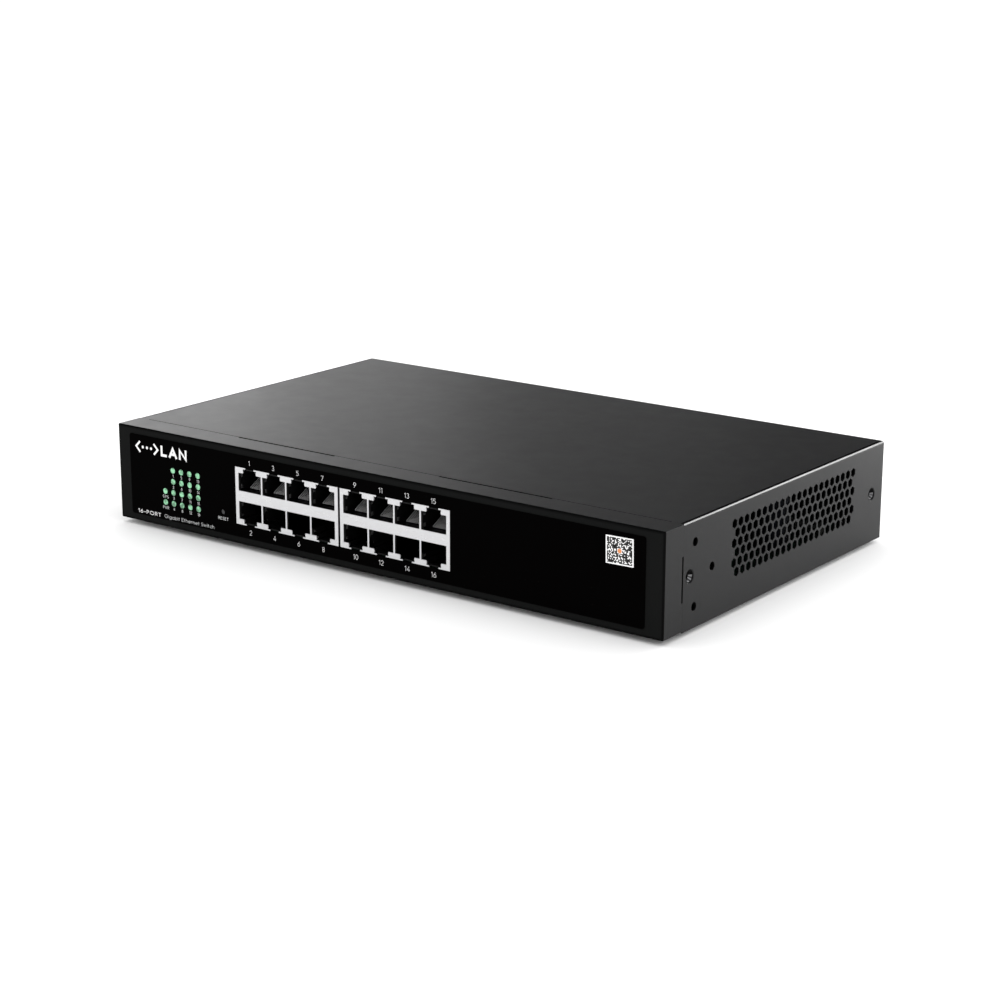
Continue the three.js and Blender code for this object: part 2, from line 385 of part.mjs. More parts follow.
// ---------------------------------------------------------------- mains supply
{
  const p = PSU, top = p.z1 + 0.1;
  let s = cbox(p.x0, p.x1, p.y0, p.y1, p.z0, p.z1);
  for (const [x, y] of PSU_SCREWS) s = cut(s, cyl("z", 1.7, 1.7, Z(p.z0 - 1), Z(p.z1 + 1), x, Y(y), 8));
  mesh(supply, "psu_board", s, MAT.board_brown);

  let sheet = cbox(59, 143.6, 63, 177.5, TRAY_LIFT + SHEET + 0.05, TRAY_LIFT + SHEET + 0.35);
  for (const [x, y] of PSU_SCREWS) sheet = cut(sheet, cyl("z", 5, 5, Z(0), Z(6), x, Y(y), 8));
  mesh(supply, "psu_insulator_sheet", sheet, MAT.film_clear);

  // transformer: ferrite halves with a taped winding between them
  const tr = join(cbox(88, 118, 92, 98, top, top + 23), cbox(88, 118, 114, 120, top, top + 23), cbox(90, 116, 97, 115, top + 0.5, top + 22));
  mesh(supply, "psu_transformer", tr, MAT.tape);
  mesh(supply, "bulk_capacitor", solid(new THREE.CylinderGeometry(8, 8, 26, 24).rotateX(Math.PI / 2)), MAT.sleeve, [130, Y(110), Z(top + 13)]);
  mesh(supply, "output_capacitor", solid(new THREE.CylinderGeometry(5, 5, 21, 20).rotateX(Math.PI / 2)), MAT.sleeve, [74, Y(84), Z(top + 10.5)]);
  let sink = join(cbox(70, 73, 96, 132, top, top + 25), cbox(70, 82, 96, 132, top + 22.5, top + 25));
  mesh(supply, "psu_heatsink", sink, MAT.aluminium);
  const choke = cut(join(cyl("y", 9, 9, -5, 5, 0, 9, 20), box(-6, 6, -5.5, 5.5, 0, 4)), cyl("y", 4, 4, -7, 7, 0, 9, 14));
  mesh(supply, "line_filter_choke", choke, MAT.wire, [84, Y(143), Z(top)]);
  mesh(supply, "x_capacitor", join(cbox(100, 118, 129, 137.5, top, top + 14.5)), MAT.tape);
  const fuse = join(cyl("x", 2.6, 2.6, 122, 127.5, Y(134), Z(top + 4.2), 12), cyl("x", 2.35, 2.35, 127, 137, Y(134), Z(top + 4.2), 12), cyl("x", 2.6, 2.6, 136.5, 142, Y(134), Z(top + 4.2), 12),
    cbox(123, 126.5, 133.5, 134.5, top, top + 3), cbox(137.5, 141, 133.5, 134.5, top, top + 3));
  mesh(supply, "line_fuse", fuse, MAT.ceramic);

  // C14 inlet: flange outside the rear sheet, body inside, standing on the supply's board
  const c = INLET, back = CASE_D + REAR_PROUD;
  let inlet = join(
    cprismXZ(roundRect(c.x - 15.5, c.x + 15.5, c.z - 12, c.z + 12, 2), CASE_D + 0.05, back),
    cbox(c.x - 13.6, c.x + 13.6, back - 21, back - 1, c.z - 9.8, c.z + 9.8));
  const w = c.cav_w / 2, hh = c.cav_h / 2, k = c.cham;
  inlet = cut(inlet, cprismXZ([[c.x - w, c.z - hh], [c.x + w, c.z - hh], [c.x + w, c.z + hh - k], [c.x + w - k, c.z + hh], [c.x - w + k, c.z + hh], [c.x - w, c.z + hh - k]], back - c.cav_d, back + 1));
  const pins = [["line", 7, -2], ["neutral", -7, -2], ["earth", 0, 2]];
  for (const [, dx, dz] of pins) inlet = cut(inlet, cbox(c.x + dx - 1.15, c.x + dx + 1.15, back - 23, back, c.z + dz - 2.15, c.z + dz + 2.15));
  mesh(supply, "ac_inlet_body", inlet, MAT.nylon_black);
  for (const [n, dx, dz] of pins) {
    const x = c.x + dx, z = c.z + dz;
    // blade, then a tail that drops to the board
    const tail = n === "earth" ? 27.5 : 24.5;
    const blade = cprismXZ([[x - 1, z - 2], [x + 1, z - 2], [x + 1, z + 2], [x - 1, z + 2]], back - tail, back - 1.2);
    mesh(supply, `ac_pin_${n}`, join(blade, cbox(x - 1, x + 1, back - tail, back - tail + 2.2, top, z + 2)), MAT.brass);
  }

  // low-voltage harness: from the supply's edge across to the main board, clear of the tray's floor
  const pts = [[67, 90, top + 0.4], [67, 90, top + 5.5], [61, 90, top + 9], [52, 89, top + 9], [44, 88, top + 5.5], [44, 88, top + 0.4]].map(([x, y, z]) => new THREE.Vector3(x, Y(y), Z(z)));
  const run = new THREE.CatmullRomCurve3(pts, false, "centripetal");
  const ring = new THREE.Shape(Array.from({ length: 8 }, (_, i) => new THREE.Vector2(1.5 * Math.cos((i * Math.PI) / 4 + 0.39), 3.4 * Math.sin((i * Math.PI) / 4 + 0.39))));
  mesh(supply, "dc_harness", solid(new THREE.ExtrudeGeometry(ring, { steps: 12, extrudePath: run })), MAT.wire);
}

export default device;
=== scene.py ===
import bpy, bmesh, math, random
from mathutils import Vector, Matrix
from mathutils.geometry import tessellate_polygon


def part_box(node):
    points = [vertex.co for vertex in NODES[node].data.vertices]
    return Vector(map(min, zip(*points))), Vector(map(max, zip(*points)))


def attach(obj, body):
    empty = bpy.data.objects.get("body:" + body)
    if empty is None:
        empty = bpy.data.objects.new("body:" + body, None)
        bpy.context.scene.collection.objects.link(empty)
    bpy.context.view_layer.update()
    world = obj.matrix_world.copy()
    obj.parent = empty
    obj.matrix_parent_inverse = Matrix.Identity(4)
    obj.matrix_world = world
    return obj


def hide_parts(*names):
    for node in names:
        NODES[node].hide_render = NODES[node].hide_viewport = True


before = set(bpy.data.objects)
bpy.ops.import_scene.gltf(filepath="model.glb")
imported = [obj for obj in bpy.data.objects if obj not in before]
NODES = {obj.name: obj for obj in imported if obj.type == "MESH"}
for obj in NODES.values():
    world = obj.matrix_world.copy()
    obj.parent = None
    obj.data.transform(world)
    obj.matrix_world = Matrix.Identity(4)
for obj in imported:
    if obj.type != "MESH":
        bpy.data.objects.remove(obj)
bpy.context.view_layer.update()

SCENE = bpy.context.scene
BODY = "case"

# ------------------------------------------------------------------ frame of the case, from the CAD boxes
# All shapes below are in millimetres: x across, y from the front sheet's face, z from the case's lower edge.
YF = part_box("chassis_tray")[0].y * 1000
DROP = 0.35
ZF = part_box("top_cover")[0].z * 1000 + DROP
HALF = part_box("top_cover")[1].x * 1000
CASE_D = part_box("chassis_tray")[1].y * 1000 - YF
CASE_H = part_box("top_cover")[1].z * 1000 - ZF
SHEET, LIP, LIFT = 0.8, 13.5, -0.1


def W(x, y, z):
    return Vector((x / 1000, (YF + y) / 1000, (ZF + z) / 1000))


PITCH = 13.97
JACKS = {}
for side in ("left", "right"):
    lo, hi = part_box("jack_shield_" + side)
    JACKS[side] = (lo.x * 1000, hi.x * 1000, lo.y * 1000 - YF, hi.y * 1000 - YF, lo.z * 1000 - ZF, hi.z * 1000 - ZF)
JZ0, JZ1 = JACKS["left"][4] - 0.05, JACKS["left"][5]
MID = (JZ0 + JZ1) / 2
FLOOR_UP, PORT_HALF, CAVITY_HALF, CEIL_UP = 24.5, 6.55, 6.0, 32.45
L1H, L1T, L2H = 3.85, 34.35, 2.45
LED_X = [-118.3, -113.22, -108.14, -103.06, -97.98]
LED_Z = [26.95, 21.83, 16.71, 11.59]
RESET_X, RESET_Z = -83.3, 12.8
SIDE_SCREWS = [(18.4, 21.75), (170.1, 21.75)]
EAR_HOLES = [(22, 35), (35.1, 21.9), (22, 8.5)]


def columns(side):
    c = (JACKS[side][0] + JACKS[side][1]) / 2
    return [c + k * PITCH for k in (-1.5, -0.5, 0.5, 1.5)]


# ------------------------------------------------------------------ mesh helpers
def obj_from(name, verts, faces):
    me = bpy.data.meshes.new(name)
    me.from_pydata([tuple(v) for v in verts], [], faces)
    me.validate()
    ob = bpy.data.objects.new(name, me)
    SCENE.collection.objects.link(ob)
    bm = bmesh.new()
    bm.from_mesh(me)
    bmesh.ops.remove_doubles(bm, verts=bm.verts, dist=1e-8)
    bmesh.ops.recalc_face_normals(bm, faces=bm.faces)
    bm.to_mesh(me)
    bm.free()
    return ob


class Shape:
    """Collects closed shells, in case millimetres."""

    def __init__(self):
        self.v, self.f = [], []

    def add(self, verts, faces):
        n = len(self.v)
        self.v += [W(*p) for p in verts]
        self.f += [[i + n for i in f] for f in faces]
        return self

    def box(self, x0, x1, y0, y1, z0, z1):
        v = [(x, y, z) for z in (z0, z1) for y in (y0, y1) for x in (x0, x1)]
        return self.add(v, [(0, 2, 3, 1), (4, 5, 7, 6), (0, 1, 5, 4), (2, 6, 7, 3), (0, 4, 6, 2), (1, 3, 7, 5)])

    def prism(self, plane, pts, a0, a1, scale1=None):
        """pts in the plane's two coordinates; xz runs along y, yz along x, xy along z."""
        n = len(pts)

        def at(p, a):
            return {"xz": (p[0], a, p[1]), "yz": (a, p[0], p[1]), "xy": (p[0], p[1], a)}[plane]

        v = [at(p, a0) for p in pts] + [at(p, a1) for p in (scale1 or pts)]
        f = [list(range(n))[::-1], [n + i for i in range(n)]] + [[i, (i + 1) % n, n + (i + 1) % n, n + i] for i in range(n)]
        return self.add(v, f)

    def rings(self, axis, centre, profile, seg=32, phase=0.0):
        """A turned shape: profile is [(a, r), ...] along the axis, closed by its end discs."""
        v = []
        for a, r in profile:
            for i in range(seg):
                t = 2 * math.pi * (i + phase) / seg
                c, s = r * math.cos(t), r * math.sin(t)
                p = {"y": (centre[0] + c, a, centre[1] + s), "x": (a, centre[0] + c, centre[1] + s), "z": (centre[0] + c, centre[1] + s, a)}[axis]
                v.append(p)
        m = len(profile)
        f = [[j * seg + i, j * seg + (i + 1) % seg, (j + 1) * seg + (i + 1) % seg, (j + 1) * seg + i] for j in range(m - 1) for i in range(seg)]
        f += [list(range(seg))[::-1], [(m - 1) * seg + i for i in range(seg)]]
        return self.add(v, f)

    def make(self, name):
        return obj_from(name, self.v, self.f)


def disc(cx, cy, r, n=32, phase=0.0):
    return [(cx + r * math.cos(2 * math.pi * (i + phase) / n), cy + r * math.sin(2 * math.pi * (i + phase) / n)) for i in range(n)]


def round_rect(x0, x1, y0, y1, r, n=6):
    pts = []
    for cx, cy, a in ((x1 - r, y0 + r, -90), (x1 - r, y1 - r, 0), (x0 + r, y1 - r, 90), (x0 + r, y0 + r, 180)):
        for i in range(n + 1):
            t = math.radians(a + 90 * i / n)
            pts.append((cx + r * math.cos(t), cy + r * math.sin(t)))
    return pts


def apply_mods(ob):
    deps = bpy.context.evaluated_depsgraph_get()
    me = bpy.data.meshes.new_from_object(ob.evaluated_get(deps))
    old = ob.data
    ob.modifiers.clear()
    ob.data = me
    me.name = ob.name
    if old.users == 0:
        bpy.data.meshes.remove(old)
    return ob


def boolean(ob, other, op="DIFFERENCE", solver="MANIFOLD"):
    m = ob.modifiers.new("b", "BOOLEAN")
    m.operation, m.solver, m.object = op, solver, other
    apply_mods(ob)
    bpy.data.objects.remove(other)
    return ob


def tidy(ob, dist=2e-6):
    bm = bmesh.new()
    bm.from_mesh(ob.data)
    bmesh.ops.remove_doubles(bm, verts=bm.verts, dist=dist)
    bmesh.ops.dissolve_degenerate(bm, edges=bm.edges, dist=dist)
    bmesh.ops.recalc_face_normals(bm, faces=bm.faces)
    bm.to_mesh(ob.data)
    bm.free()
    return ob


def soften(ob, width=0.1, seg=2, angle=35, smooth=35):
    """A fine rounded edge on every corner, and smooth shading that keeps flats flat."""
    if width:
        m = ob.modifiers.new("edge", "BEVEL")
        m.width, m.segments, m.limit_method, m.angle_limit = width / 1000, seg, "ANGLE", math.radians(angle)
        m.use_clamp_overlap = True
        m.miter_outer = "MITER_ARC"
        m.harden_normals = False
    apply_mods(ob)
    me = ob.data
    me.shade_smooth()
    me.set_sharp_from_angle(angle=math.radians(smooth))
    w = ob.modifiers.new("wn", "WEIGHTED_NORMAL")
    w.keep_sharp, w.weight, w.mode = True, 50, "FACE_AREA_WITH_ANGLE"
    return ob


def done(ob, mat, body=BODY, replaces=()):
    mats = mat if isinstance(mat, (list, tuple)) else [mat]
    if not any(ob.data.materials):
        ob.data.materials.clear()
        for m in mats:
            ob.data.materials.append(m)
    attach(ob, body)
    if replaces:
        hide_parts(*replaces)
    return ob


# ------------------------------------------------------------------ materials
def material(name, base, rough, metal=0.0, spec=0.5, vary=0.08, vary_scale=60.0, rough_vary=0.05, rough_scale=220.0,
             bump=0.0, bump_scale=2500.0, coat=0.0, coat_rough=0.1, emit=None, emit_strength=0.0, trans=0.0, ior=1.5,
             stretch=None, sheen=0.0, detail=3.0, sharp=False):
    m = bpy.data.materials.new(name)
    m.use_nodes = True
    nt = m.node_tree
    p = nt.nodes["Principled BSDF"]
    L = nt.links.new
    tc = nt.nodes.new("ShaderNodeTexCoord")
    src = tc.outputs["Object"]
    if stretch:
        mp = nt.nodes.new("ShaderNodeMapping")
        mp.inputs["Scale"].default_value = stretch
        L(src, mp.inputs["Vector"])
        src = mp.outputs["Vector"]

    def noise(scale, det):
        n = nt.nodes.new("ShaderNodeTexNoise")
        n.inputs["Scale"].default_value = scale
        n.inputs["Detail"].default_value = det
        L(src, n.inputs["Vector"])
        return n

    n1 = noise(vary_scale, detail)
    mix = nt.nodes.new("ShaderNodeMix")
    mix.data_type = "RGBA"
    lo = [max(0.0, c * (1 - vary)) for c in base] + [1]
    hi = [min(1.0, c * (1 + vary)) for c in base] + [1]
    mix.inputs["A"].default_value = lo
    mix.inputs["B"].default_value = hi
    if sharp:  # a crisper mottling
        mc = nt.nodes.new("ShaderNodeMapRange")
        mc.inputs["From Min"].default_value, mc.inputs["From Max"].default_value = 0.38, 0.62
        L(n1.outputs["Fac"], mc.inputs["Value"])
        L(mc.outputs["Result"], mix.inputs["Factor"])
    else:
        L(n1.outputs["Fac"], mix.inputs["Factor"])
    L(mix.outputs["Result"], p.inputs["Base Color"])
    n2 = noise(rough_scale, 2.0)
    mr = nt.nodes.new("ShaderNodeMapRange")
    mr.inputs["From Min"].default_value, mr.inputs["From Max"].default_value = 0.25, 0.75
    mr.inputs["To Min"].default_value = max(0.02, rough - rough_vary)
    mr.inputs["To Max"].default_value = min(1.0, rough + rough_vary)
    L(n2.outputs["Fac"], mr.inputs["Value"])
    L(mr.outputs["Result"], p.inputs["Roughness"])
    if bump:
        n3 = noise(bump_scale, 2.0)
        b = nt.nodes.new("ShaderNodeBump")
        b.inputs["Strength"].default_value = bump
        b.inputs["Distance"].default_value = 0.00008
        L(n3.outputs["Fac"], b.inputs["Height"])
        L(b.outputs["Normal"], p.inputs["Normal"])
    p.inputs["Metallic"].default_value = metal
    p.inputs["Specular IOR Level"].default_value = spec
    p.inputs["IOR"].default_value = ior
    p.inputs["Coat Weight"].default_value = coat
    p.inputs["Coat Roughness"].default_value = coat_rough
    p.inputs["Sheen Weight"].default_value = sheen
    p.inputs["Transmission Weight"].default_value = trans
    if emit:
        p.inputs["Emission Color"].default_value = (*emit, 1)
        p.inputs["Emission Strength"].default_value = emit_strength
    m.diffuse_color = (*base, 1)
    return m


def outline_darken(m, x_half, z0, z1, width, factor):
    """Darkens a panel's colour along its outer edges: painted shade for the dark reflections where the sheet turns
    round its folds.
    """
    nt = m.node_tree
    L = nt.links.new
    tc = nt.nodes.new("ShaderNodeTexCoord")
    sep = nt.nodes.new("ShaderNodeSeparateXYZ")
    L(tc.outputs["Object"], sep.inputs[0])
    ab = nt.nodes.new("ShaderNodeMath")
    ab.operation = "ABSOLUTE"
    L(sep.outputs["X"], ab.inputs[0])
    outs = []
    for src, a, b in ((ab.outputs[0], x_half - width, x_half - width * 0.35), (sep.outputs["Z"], z1 - width, z1 - width * 0.35),
                      (sep.outputs["Z"], z0 + width, z0 + width * 0.35)):
        mr = nt.nodes.new("ShaderNodeMapRange")
        mr.inputs["From Min"].default_value, mr.inputs["From Max"].default_value = a, b
        L(src, mr.inputs["Value"])
        outs.append(mr.outputs["Result"])
    top = outs[0]
    for o in outs[1:]:
        mx = nt.nodes.new("ShaderNodeMath")
        mx.operation = "MAXIMUM"
        L(top, mx.inputs[0])
        L(o, mx.inputs[1])
        top = mx.outputs[0]
    p = nt.nodes["Principled BSDF"]
    colour = p.inputs["Base Color"].links[0].from_socket
    mul = nt.nodes.new("ShaderNodeMix")
    mul.data_type, mul.blend_type = "RGBA", "MULTIPLY"
    mul.inputs["B"].default_value = (factor, factor, factor, 1)
    L(top, mul.inputs["Factor"])
    L(colour, mul.inputs["A"])
    L(mul.outputs["Result"], p.inputs["Base Color"])


def srgb(r, g, b):
    return tuple((c / 255 / 12.92) if c / 255 <= 0.04045 else ((c / 255 + 0.055) / 1.055) ** 2.4 for c in (r, g, b))


PAINT = material("case_powder_coat", (0.0075, 0.0075, 0.0079), 0.40, spec=0.32, vary=0.10, vary_scale=30, rough_vary=0.015,
                 rough_scale=120, bump=0.06, bump_scale=1800)
# The flat sides' copy of the coat, less reflective than the top's so the sides read darker: a shaded copy (painted
# shade).
PAINT_SIDE_SHADED = material("side_powder_coat", (0.0075, 0.0075, 0.0079), 0.40, spec=0.165, vary=0.10, vary_scale=30, rough_vary=0.015,
                      rough_scale=120, bump=0.06, bump_scale=1800)
# The front's copy of the coat, darker and far less reflective than the top's: a shaded copy of the coat (painted
# shade).
PAINT_FRONT = material("front_powder_coat_painted_fold_shade", (0.0060, 0.0063, 0.0062), 0.55, spec=0.03, vary=0.10, vary_scale=30, rough_vary=0.03,
                       rough_scale=90, bump=0.10, bump_scale=1500)
# A near-black, dull copy of the coat for inner faces, the seam slits and the strip above each bend's highlight: painted
# shade.
PAINT_SHADE_IN = material("inside_and_gap_painted_shade", (0.003, 0.003, 0.003), 0.6, spec=0.06, vary=0.15, bump=0.1, bump_scale=1500)
TAB = material("shield_tab_shaded", (0.24, 0.24, 0.245), 0.5, metal=1.0, vary=0.1, vary_scale=400, rough_vary=0.06, bump=0.05)
FILM = material("front_film_gloss", (0.0006, 0.00045, 0.00045), 0.22, spec=0.006, vary=0.2, vary_scale=20, rough_vary=0.03,
                rough_scale=40, bump=0.02, bump_scale=400)
# A lit copy of the coat for the bend facets, glossier and far more reflective than the rest, so the bend carries a
# bright line: painted highlight.
PAINT_BEND_LIT = material("bend_powder_coat_lit_copy", (0.0070, 0.0070, 0.0074), 0.21, spec=0.9, vary=0.12, vary_scale=30, rough_vary=0.02,
                      rough_scale=90, bump=0.05, bump_scale=1500)
# A much darker copy of the coat for the front's rounded fold faces: painted shade for the dark reflection the folds
# show.
PAINT_FOLD_SHADE = material("front_fold_painted_shade", (0.0022, 0.0023, 0.0023), 0.5, spec=0.04, vary=0.12, vary_scale=30,
                      rough_vary=0.03, rough_scale=90, bump=0.05, bump_scale=1500)
# the front's colour darkened along its outer edges: painted shade at the folds
outline_darken(PAINT_FRONT, HALF / 1000, (ZF + LIFT) / 1000, (ZF + CASE_H) / 1000, 0.0014, 0.22)
INK = material("white_ink", (0.86, 0.86, 0.86), 0.55, spec=0.3, vary=0.03, vary_scale=900, bump=0.05, bump_scale=4000)
INK_DIM = material("white_ink_fine", (0.62, 0.63, 0.63), 0.55, spec=0.3, vary=0.05, vary_scale=900, bump=0.05, bump_scale=4000)
PAPER = material("label_paper", (0.86, 0.86, 0.86), 0.5, spec=0.4, vary=0.03, vary_scale=500, bump=0.05, bump_scale=3000)
LABEL_BLACK = material("label_black_ink", (0.004, 0.004, 0.004), 0.5, spec=0.3, vary=0.2, bump=0.03)
LABEL_ORANGE = material("label_orange_ink", (0.72, 0.27, 0.10), 0.5, spec=0.3, vary=0.06, vary_scale=600, bump=0.03)
ZINC = material("bright_zinc", (0.60, 0.61, 0.63), 0.28, metal=1.0, vary=0.10, vary_scale=500, rough_vary=0.08, rough_scale=700,
                bump=0.05, bump_scale=2500)
NICKEL = material("nickel_shield", (0.665, 0.665, 0.675), 0.30, metal=1.0, vary=0.03, vary_scale=120, rough_vary=0.04,
                  rough_scale=400, bump=0.04, bump_scale=1200, stretch=(1, 1, 6))
JACK_PLASTIC = material("jack_black_nylon", (0.0028, 0.0028, 0.003), 0.45, spec=0.14, vary=0.15, vary_scale=200, bump=0.08, bump_scale=2500)
CONTACT = material("contact_wire", (0.56, 0.56, 0.56), 0.42, metal=0.2, spec=0.6, vary=0.05, vary_scale=900, rough_vary=0.05)
LED = material("light_pipe_lit", srgb(122, 178, 140), 0.30, spec=0.5, vary=0.50, vary_scale=560, rough_vary=0.08,
               emit=srgb(130, 200, 150), emit_strength=0.04, bump=0.6, bump_scale=560, detail=1.0, sharp=True)
# The cover screws in two finishes: the lower part of the dish in brighter metal than the screw's black zinc (painted
# highlight), the rest near black (painted shade).
SCREW_LIT_HALF = material("black_zinc_screw_lit_half", (0.20, 0.20, 0.205), 0.33, metal=1.0, vary=0.15, vary_scale=800,
                       rough_vary=0.04, rough_scale=900, bump=0.05, bump_scale=3000)
SCREW_SHADE = material("screw_painted_shade", (0.0015, 0.0015, 0.0015), 0.6, spec=0.05, vary=0.2, vary_scale=900, bump=0.05)
PIPE = material("light_pipe_clear", (0.55, 0.62, 0.57), 0.2, spec=0.5, trans=0.6, vary=0.05, bump=0.05)
RUBBER = material("foot_rubber_matt", (0.015, 0.015, 0.016), 0.85, spec=0.3, vary=0.2, vary_scale=300, bump=0.3, bump_scale=1800)
BUTTON = material("button_plastic_grey", (0.05, 0.05, 0.052), 0.5, spec=0.4, vary=0.1, bump=0.1)
PCB_GREEN = material("board_solder_mask", (0.004, 0.022, 0.011), 0.35, spec=0.5, vary=0.25, vary_scale=260, rough_vary=0.06, bump=0.15, bump_scale=700)
# The supply board's mask, the transformer tape, the capacitor sleeves and the supply's heat sink get near-black colours
# in place of their own: painted shade for the dark inside of the case.
PCB_BROWN = material("supply_board_mask", (0.004, 0.018, 0.010), 0.45, vary=0.2, vary_scale=500, bump=0.2, bump_scale=1400, stretch=(1, 5, 1))
CHIP = material("chip_epoxy", (0.012, 0.012, 0.013), 0.62, spec=0.4, vary=0.15, vary_scale=400, bump=0.25, bump_scale=3500)
ANOD = material("anodised_black", (0.02, 0.02, 0.022), 0.42, metal=0.6, vary=0.15, vary_scale=300, bump=0.1, stretch=(1, 8, 1))
ALU = material("supply_heat_sink_painted_shade", (0.004, 0.004, 0.0044), 0.55, metal=0.0, spec=0.05, vary=0.07, vary_scale=300, rough_vary=0.08, bump=0.08, stretch=(1, 10, 1))
TAPE = material("transformer_tape_painted_shade", (0.003, 0.003, 0.0026), 0.5, spec=0.03, vary=0.08, vary_scale=500, bump=0.1, bump_scale=800)
FERRITE = material("ferrite_core", (0.008, 0.008, 0.008), 0.6, spec=0.15, vary=0.2, vary_scale=800, bump=0.2, bump_scale=2500)
SLEEVE = material("capacitor_sleeve", (0.0025, 0.0032, 0.006), 0.5, spec=0.05, vary=0.1, bump=0.05)
MYLAR = material("insulating_sheet_black", (0.003, 0.003, 0.003), 0.5, spec=0.04, trans=0.0, vary=0.05, bump=0.05, bump_scale=300)
BRASS = material("nickel_plated_pin", (0.74, 0.72, 0.67), 0.22, metal=1.0, vary=0.06, vary_scale=500, bump=0.04)
CERAMIC = material("fuse_sleeve", (0.03, 0.03, 0.028), 0.35, coat=0.3, vary=0.04, bump=0.05)
COIL = material("enamelled_wire", (0.05, 0.018, 0.008), 0.28, metal=0.7, vary=0.15, vary_scale=600, bump=0.1)
WIRE_RED = material("wire_red_pvc", (0.12, 0.006, 0.006), 0.4, vary=0.1, bump=0.05)
XCAP = material("capacitor_case", (0.003, 0.003, 0.0033), 0.5, spec=0.04, vary=0.06, vary_scale=400, bump=0.08)
FLOOR = material("studio_floor", (0.92, 0.92, 0.92), 0.75, spec=0.2, vary=0.01, vary_scale=2, rough_vary=0.02, rough_scale=5)

# ------------------------------------------------------------------ camera
cam_data = bpy.data.cameras.new("camera")
cam_data.sensor_width = 36.0
cam_data.lens = 81.167
cam = bpy.data.objects.new("camera", cam_data)
SCENE.collection.objects.link(cam)
az, el, roll = math.radians(36.366), math.radians(15.476), math.radians(-0.174)
back = Vector((math.sin(az) * math.cos(el), -math.cos(az) * math.cos(el), math.sin(el)))
fwd = -back
right = fwd.cross(Vector((0, 0, 1))).normalized()
down = fwd.cross(right)
r2 = math.cos(roll) * right + math.sin(roll) * down
d2 = -math.sin(roll) * right + math.cos(roll) * down
rot = Matrix((r2, -d2, back)).transposed()
cam.matrix_world = Matrix.Translation(W(584.08, -699.87, 284.29)) @ rot.to_4x4()
SCENE.camera = cam

# ------------------------------------------------------------------ stage
floor_me = bpy.data.meshes.new("floor")
S = 40.0
floor_me.from_pydata([(-S, -S, 0), (S, -S, 0), (S, S, 0), (-S, S, 0)], [], [(0, 1, 2, 3)])
floor = bpy.data.objects.new("floor", floor_me)
SCENE.collection.objects.link(floor)
floor_me.materials.append(FLOOR)


def area(name, loc, target, size, power, size_y=None, colour=(1, 1, 1)):
    d = bpy.data.lights.new(name, "AREA")
    d.energy, d.size, d.color = power, size, colour
    if size_y:
        d.shape, d.size_y = "RECTANGLE", size_y
    o = bpy.data.objects.new(name, d)
    SCENE.collection.objects.link(o)
    o.location = loc
    o.rotation_euler = (Vector(target) - Vector(loc)).to_track_quat("-Z", "Y").to_euler()
    o.visible_camera = False
    return o


def soft_box(name, az0, az1, el0, el1, power, dist=2.6):
    """A panel that fills the given span of azimuth (from +Y towards +X) and elevation, seen from the object."""
    a, e = math.radians((az0 + az1) / 2), math.radians((el0 + el1) / 2)
    loc = (dist * math.sin(a) * math.cos(e), dist * math.cos(a) * math.cos(e), dist * math.sin(e))
    area(name, loc, (0, 0, 0.02), 2 * dist * math.tan(math.radians((az1 - az0) / 2)), power,
         size_y=2 * dist * math.tan(math.radians((el1 - el0) / 2)))


area("overhead", (-0.3, -0.6, 3.0), (0, 0, 0), 3.2, 14)
soft_box("back_left", -57, -45, 1, 15, 5.4)
soft_box("back_left_inner", -45, -38, 1, 13, 1.5)
soft_box("back_low", -38, -28, 0.5, 6.5, 1.25)
soft_box("back_low_dim", -28, -16, 0.5, 6.5, 0.65)
area("back_right_strip", (0.659, 1.845, 1.127), (0.147, 0.0, 0.044), 0.44, 5.6, size_y=0.52)
soft_box("right_high", 87, 98, 29, 40, 6.0)
area("rear_corner", (0.30, 0.47, 0.06), (0.147, 0.08, 0.02), 0.10, 0.85, size_y=0.10)

# An even white studio: the world lights the floor, and reflections see a dark room beyond the floor and the soft boxes.
world = bpy.data.worlds.new("studio")
SCENE.world = world
world.use_nodes = True
world.cycles.sampling_method = "NONE"
wn = world.node_tree
bg = wn.nodes["Background"]
bg.inputs["Color"].default_value = (1.0, 1.0, 1.0, 1)
bg.inputs["Strength"].default_value = 1.25
bg_dark = wn.nodes.new("ShaderNodeBackground")
bg_dark.inputs["Color"].default_value = (0.05, 0.05, 0.052, 1)
bg_cam = wn.nodes.new("ShaderNodeBackground")
bg_cam.inputs["Color"].default_value = (1.0, 1.0, 1.0, 1)
lp = wn.nodes.new("ShaderNodeLightPath")
mx1 = wn.nodes.new("ShaderNodeMixShader")
mx2 = wn.nodes.new("ShaderNodeMixShader")
wn.links.new(lp.outputs["Is Glossy Ray"], mx1.inputs["Fac"])
wn.links.new(bg.outputs["Background"], mx1.inputs[1])
wn.links.new(bg_dark.outputs["Background"], mx1.inputs[2])
wn.links.new(lp.outputs["Is Camera Ray"], mx2.inputs["Fac"])
wn.links.new(mx1.outputs["Shader"], mx2.inputs[1])
wn.links.new(bg_cam.outputs["Background"], mx2.inputs[2])
wn.links.new(mx2.outputs["Shader"], wn.nodes["World Output"].inputs["Surface"])
SCENE.view_settings.view_transform = "Standard"
SCENE.view_settings.look = "None"


# ------------------------------------------------------------------ cover
def hexagon(y, z, r):
    return [(y + r * math.sin(i * math.pi / 3), z + r * math.cos(i * math.pi / 3)) for i in range(6)]


